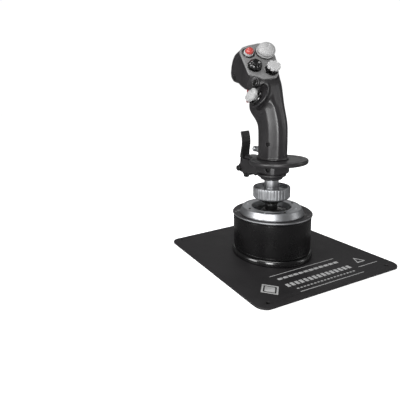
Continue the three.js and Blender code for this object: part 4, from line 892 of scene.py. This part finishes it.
for nm, r, rh, tk, y, z, rep in (("pivot_pin", 2.1, 4.4, 3.2, 58, 124, "paddle_pivot_pin"), ("stop_pin", 1.6, 3.2, 2.2, 42.6, 115.4, "paddle_stop_pin")):
    V, F = cross_pin(r, rh, tk)
    make(nm, V, F, "dark_screw", "stick", rep, smooth=35, xf=ALONG_X(y, z))
ROOT = [(51.4, 121), (53.5, 119.4), (60, 119.4), (61.6, 121), (61.6, 130), (60.4, 140), (59.4, 146), (57.9, 152), (56.2, 159), (55.6, 165), (56.2, 171), (58.8, 180.6),
        (56, 181), (53.4, 172.4), (52.6, 165), (53.1, 158), (54.6, 151), (55.2, 145), (54.6, 140), (52.4, 134), (51.4, 130)]
BLADE = [(60.4, 140.4), (59.4, 146), (57.9, 152), (56.2, 159), (55.6, 165), (56.2, 171), (58.8, 180.6), (56, 181), (53.4, 172.4), (52.6, 165), (53.1, 158), (54.6, 151), (55.2, 145), (54.8, 140.4)]
G = Grid((-8.4, 50.4, 118.4), (8.4, 62.6, 182), 0.4)
f = both(poly_sdf(G.y[0], G.z[0], fillet(ROOT, 1.0, 2, True))[None], np.abs(G.x) - 6.3, 0.8)
bl = both(poly_sdf(G.y[0], G.z[0], fillet(BLADE, 0.8, 2, True))[None], np.abs(G.x) - 7.4, 0.9)
f = smin(f, bl, 0.6)
f = np.maximum(f, -cyl(G, (0, 58, 124), (1, 0, 0), 2.4, -10, 10))
solid("paddle", G, f, "black_plastic", "paddle", "paddle_lever")

# ---------------------------------------------------------------- floor and light
me = bpy.data.meshes.new("floor")
me.from_pydata([(-40, -40, 0), (40, -40, 0), (40, 40, 0), (-40, 40, 0)], [], [(0, 1, 2, 3)])
floor = bpy.data.objects.new("floor", me)
bpy.context.scene.collection.objects.link(floor)
fm = bpy.data.materials.new("m_floor"); fm.use_nodes = True
fb = fm.node_tree.nodes["Principled BSDF"]
fb.inputs["Base Color"].default_value = (0.94, 0.94, 0.945, 1); fb.inputs["Roughness"].default_value = 0.9
fb.inputs["Specular IOR Level"].default_value = 0.1
fn, fl = fm.node_tree.nodes, fm.node_tree.links
# for glossy rays the floor colour is dark grey, so reflections on the object show painted shade where the white floor
# is; for camera rays the floor glows by emission so it shows plain white
flp = fn.new("ShaderNodeLightPath")
floor_reflection_shade = fn.new("ShaderNodeMix"); floor_reflection_shade.data_type = "RGBA"
fl.new(flp.outputs["Is Glossy Ray"], floor_reflection_shade.inputs["Factor"])
floor_reflection_shade.inputs["A"].default_value = (0.94, 0.94, 0.945, 1); floor_reflection_shade.inputs["B"].default_value = (0.16, 0.16, 0.16, 1)
fl.new(floor_reflection_shade.outputs["Result"], fb.inputs["Base Color"])
fem = fn.new("ShaderNodeMath"); fem.operation = "MULTIPLY"; fem.inputs[1].default_value = 0.72
fl.new(flp.outputs["Is Camera Ray"], fem.inputs[0])
fb.inputs["Emission Color"].default_value = (1, 1, 1, 1)
fl.new(fem.outputs[0], fb.inputs["Emission Strength"])
me.materials.append(fm)

def area(name, loc, target, size, size_y, power, colour=(1, 1, 1)):
    ld = bpy.data.lights.new(name, "AREA")
    ld.shape, ld.size, ld.size_y, ld.energy, ld.color = "RECTANGLE", size, size_y, power, colour
    ob = bpy.data.objects.new(name, ld)
    bpy.context.scene.collection.objects.link(ob)
    ob.location = loc
    ob.rotation_mode = "QUATERNION"
    ob.rotation_quaternion = (Vector(target) - Vector(loc)).to_track_quat("-Z", "Y")
    ob.visible_camera = False
    return ob

area("key", (-1.42, 0.0, 0.62), (0, 0, 0.20), 0.60, 1.15, 15)
area("front", (-0.99, -1.02, 0.42), (0, 0, 0.20), 0.40, 0.85, 14)
area("top", (-0.25, -0.15, 1.9), (0, 0, 0.1), 1.0, 1.0, 11)
area("back", (0.95, 1.05, 0.75), (0, 0, 0.12), 1.3, 0.5, 1.3)
area("rim", (0.9, -0.75, 0.45), (0, 0, 0.16), 0.25, 0.8, 1.6)
w = bpy.data.worlds.new("world"); bpy.context.scene.world = w
w.use_nodes = True
w.node_tree.nodes["Background"].inputs["Color"].default_value = (1, 1, 1, 1)
wn, wl = w.node_tree.nodes, w.node_tree.links
lp = wn.new("ShaderNodeLightPath")
m1 = wn.new("ShaderNodeMath"); m1.operation = "MULTIPLY_ADD"
wl.new(lp.outputs["Is Glossy Ray"], m1.inputs[0])
m1.inputs[1].default_value, m1.inputs[2].default_value = -0.36, 0.46
m2 = wn.new("ShaderNodeMath"); m2.operation = "MULTIPLY_ADD"
wl.new(lp.outputs["Is Camera Ray"], m2.inputs[0])
m2.inputs[1].default_value = 0.56
wl.new(m1.outputs[0], m2.inputs[2])
wl.new(m2.outputs[0], wn["Background"].inputs["Strength"])
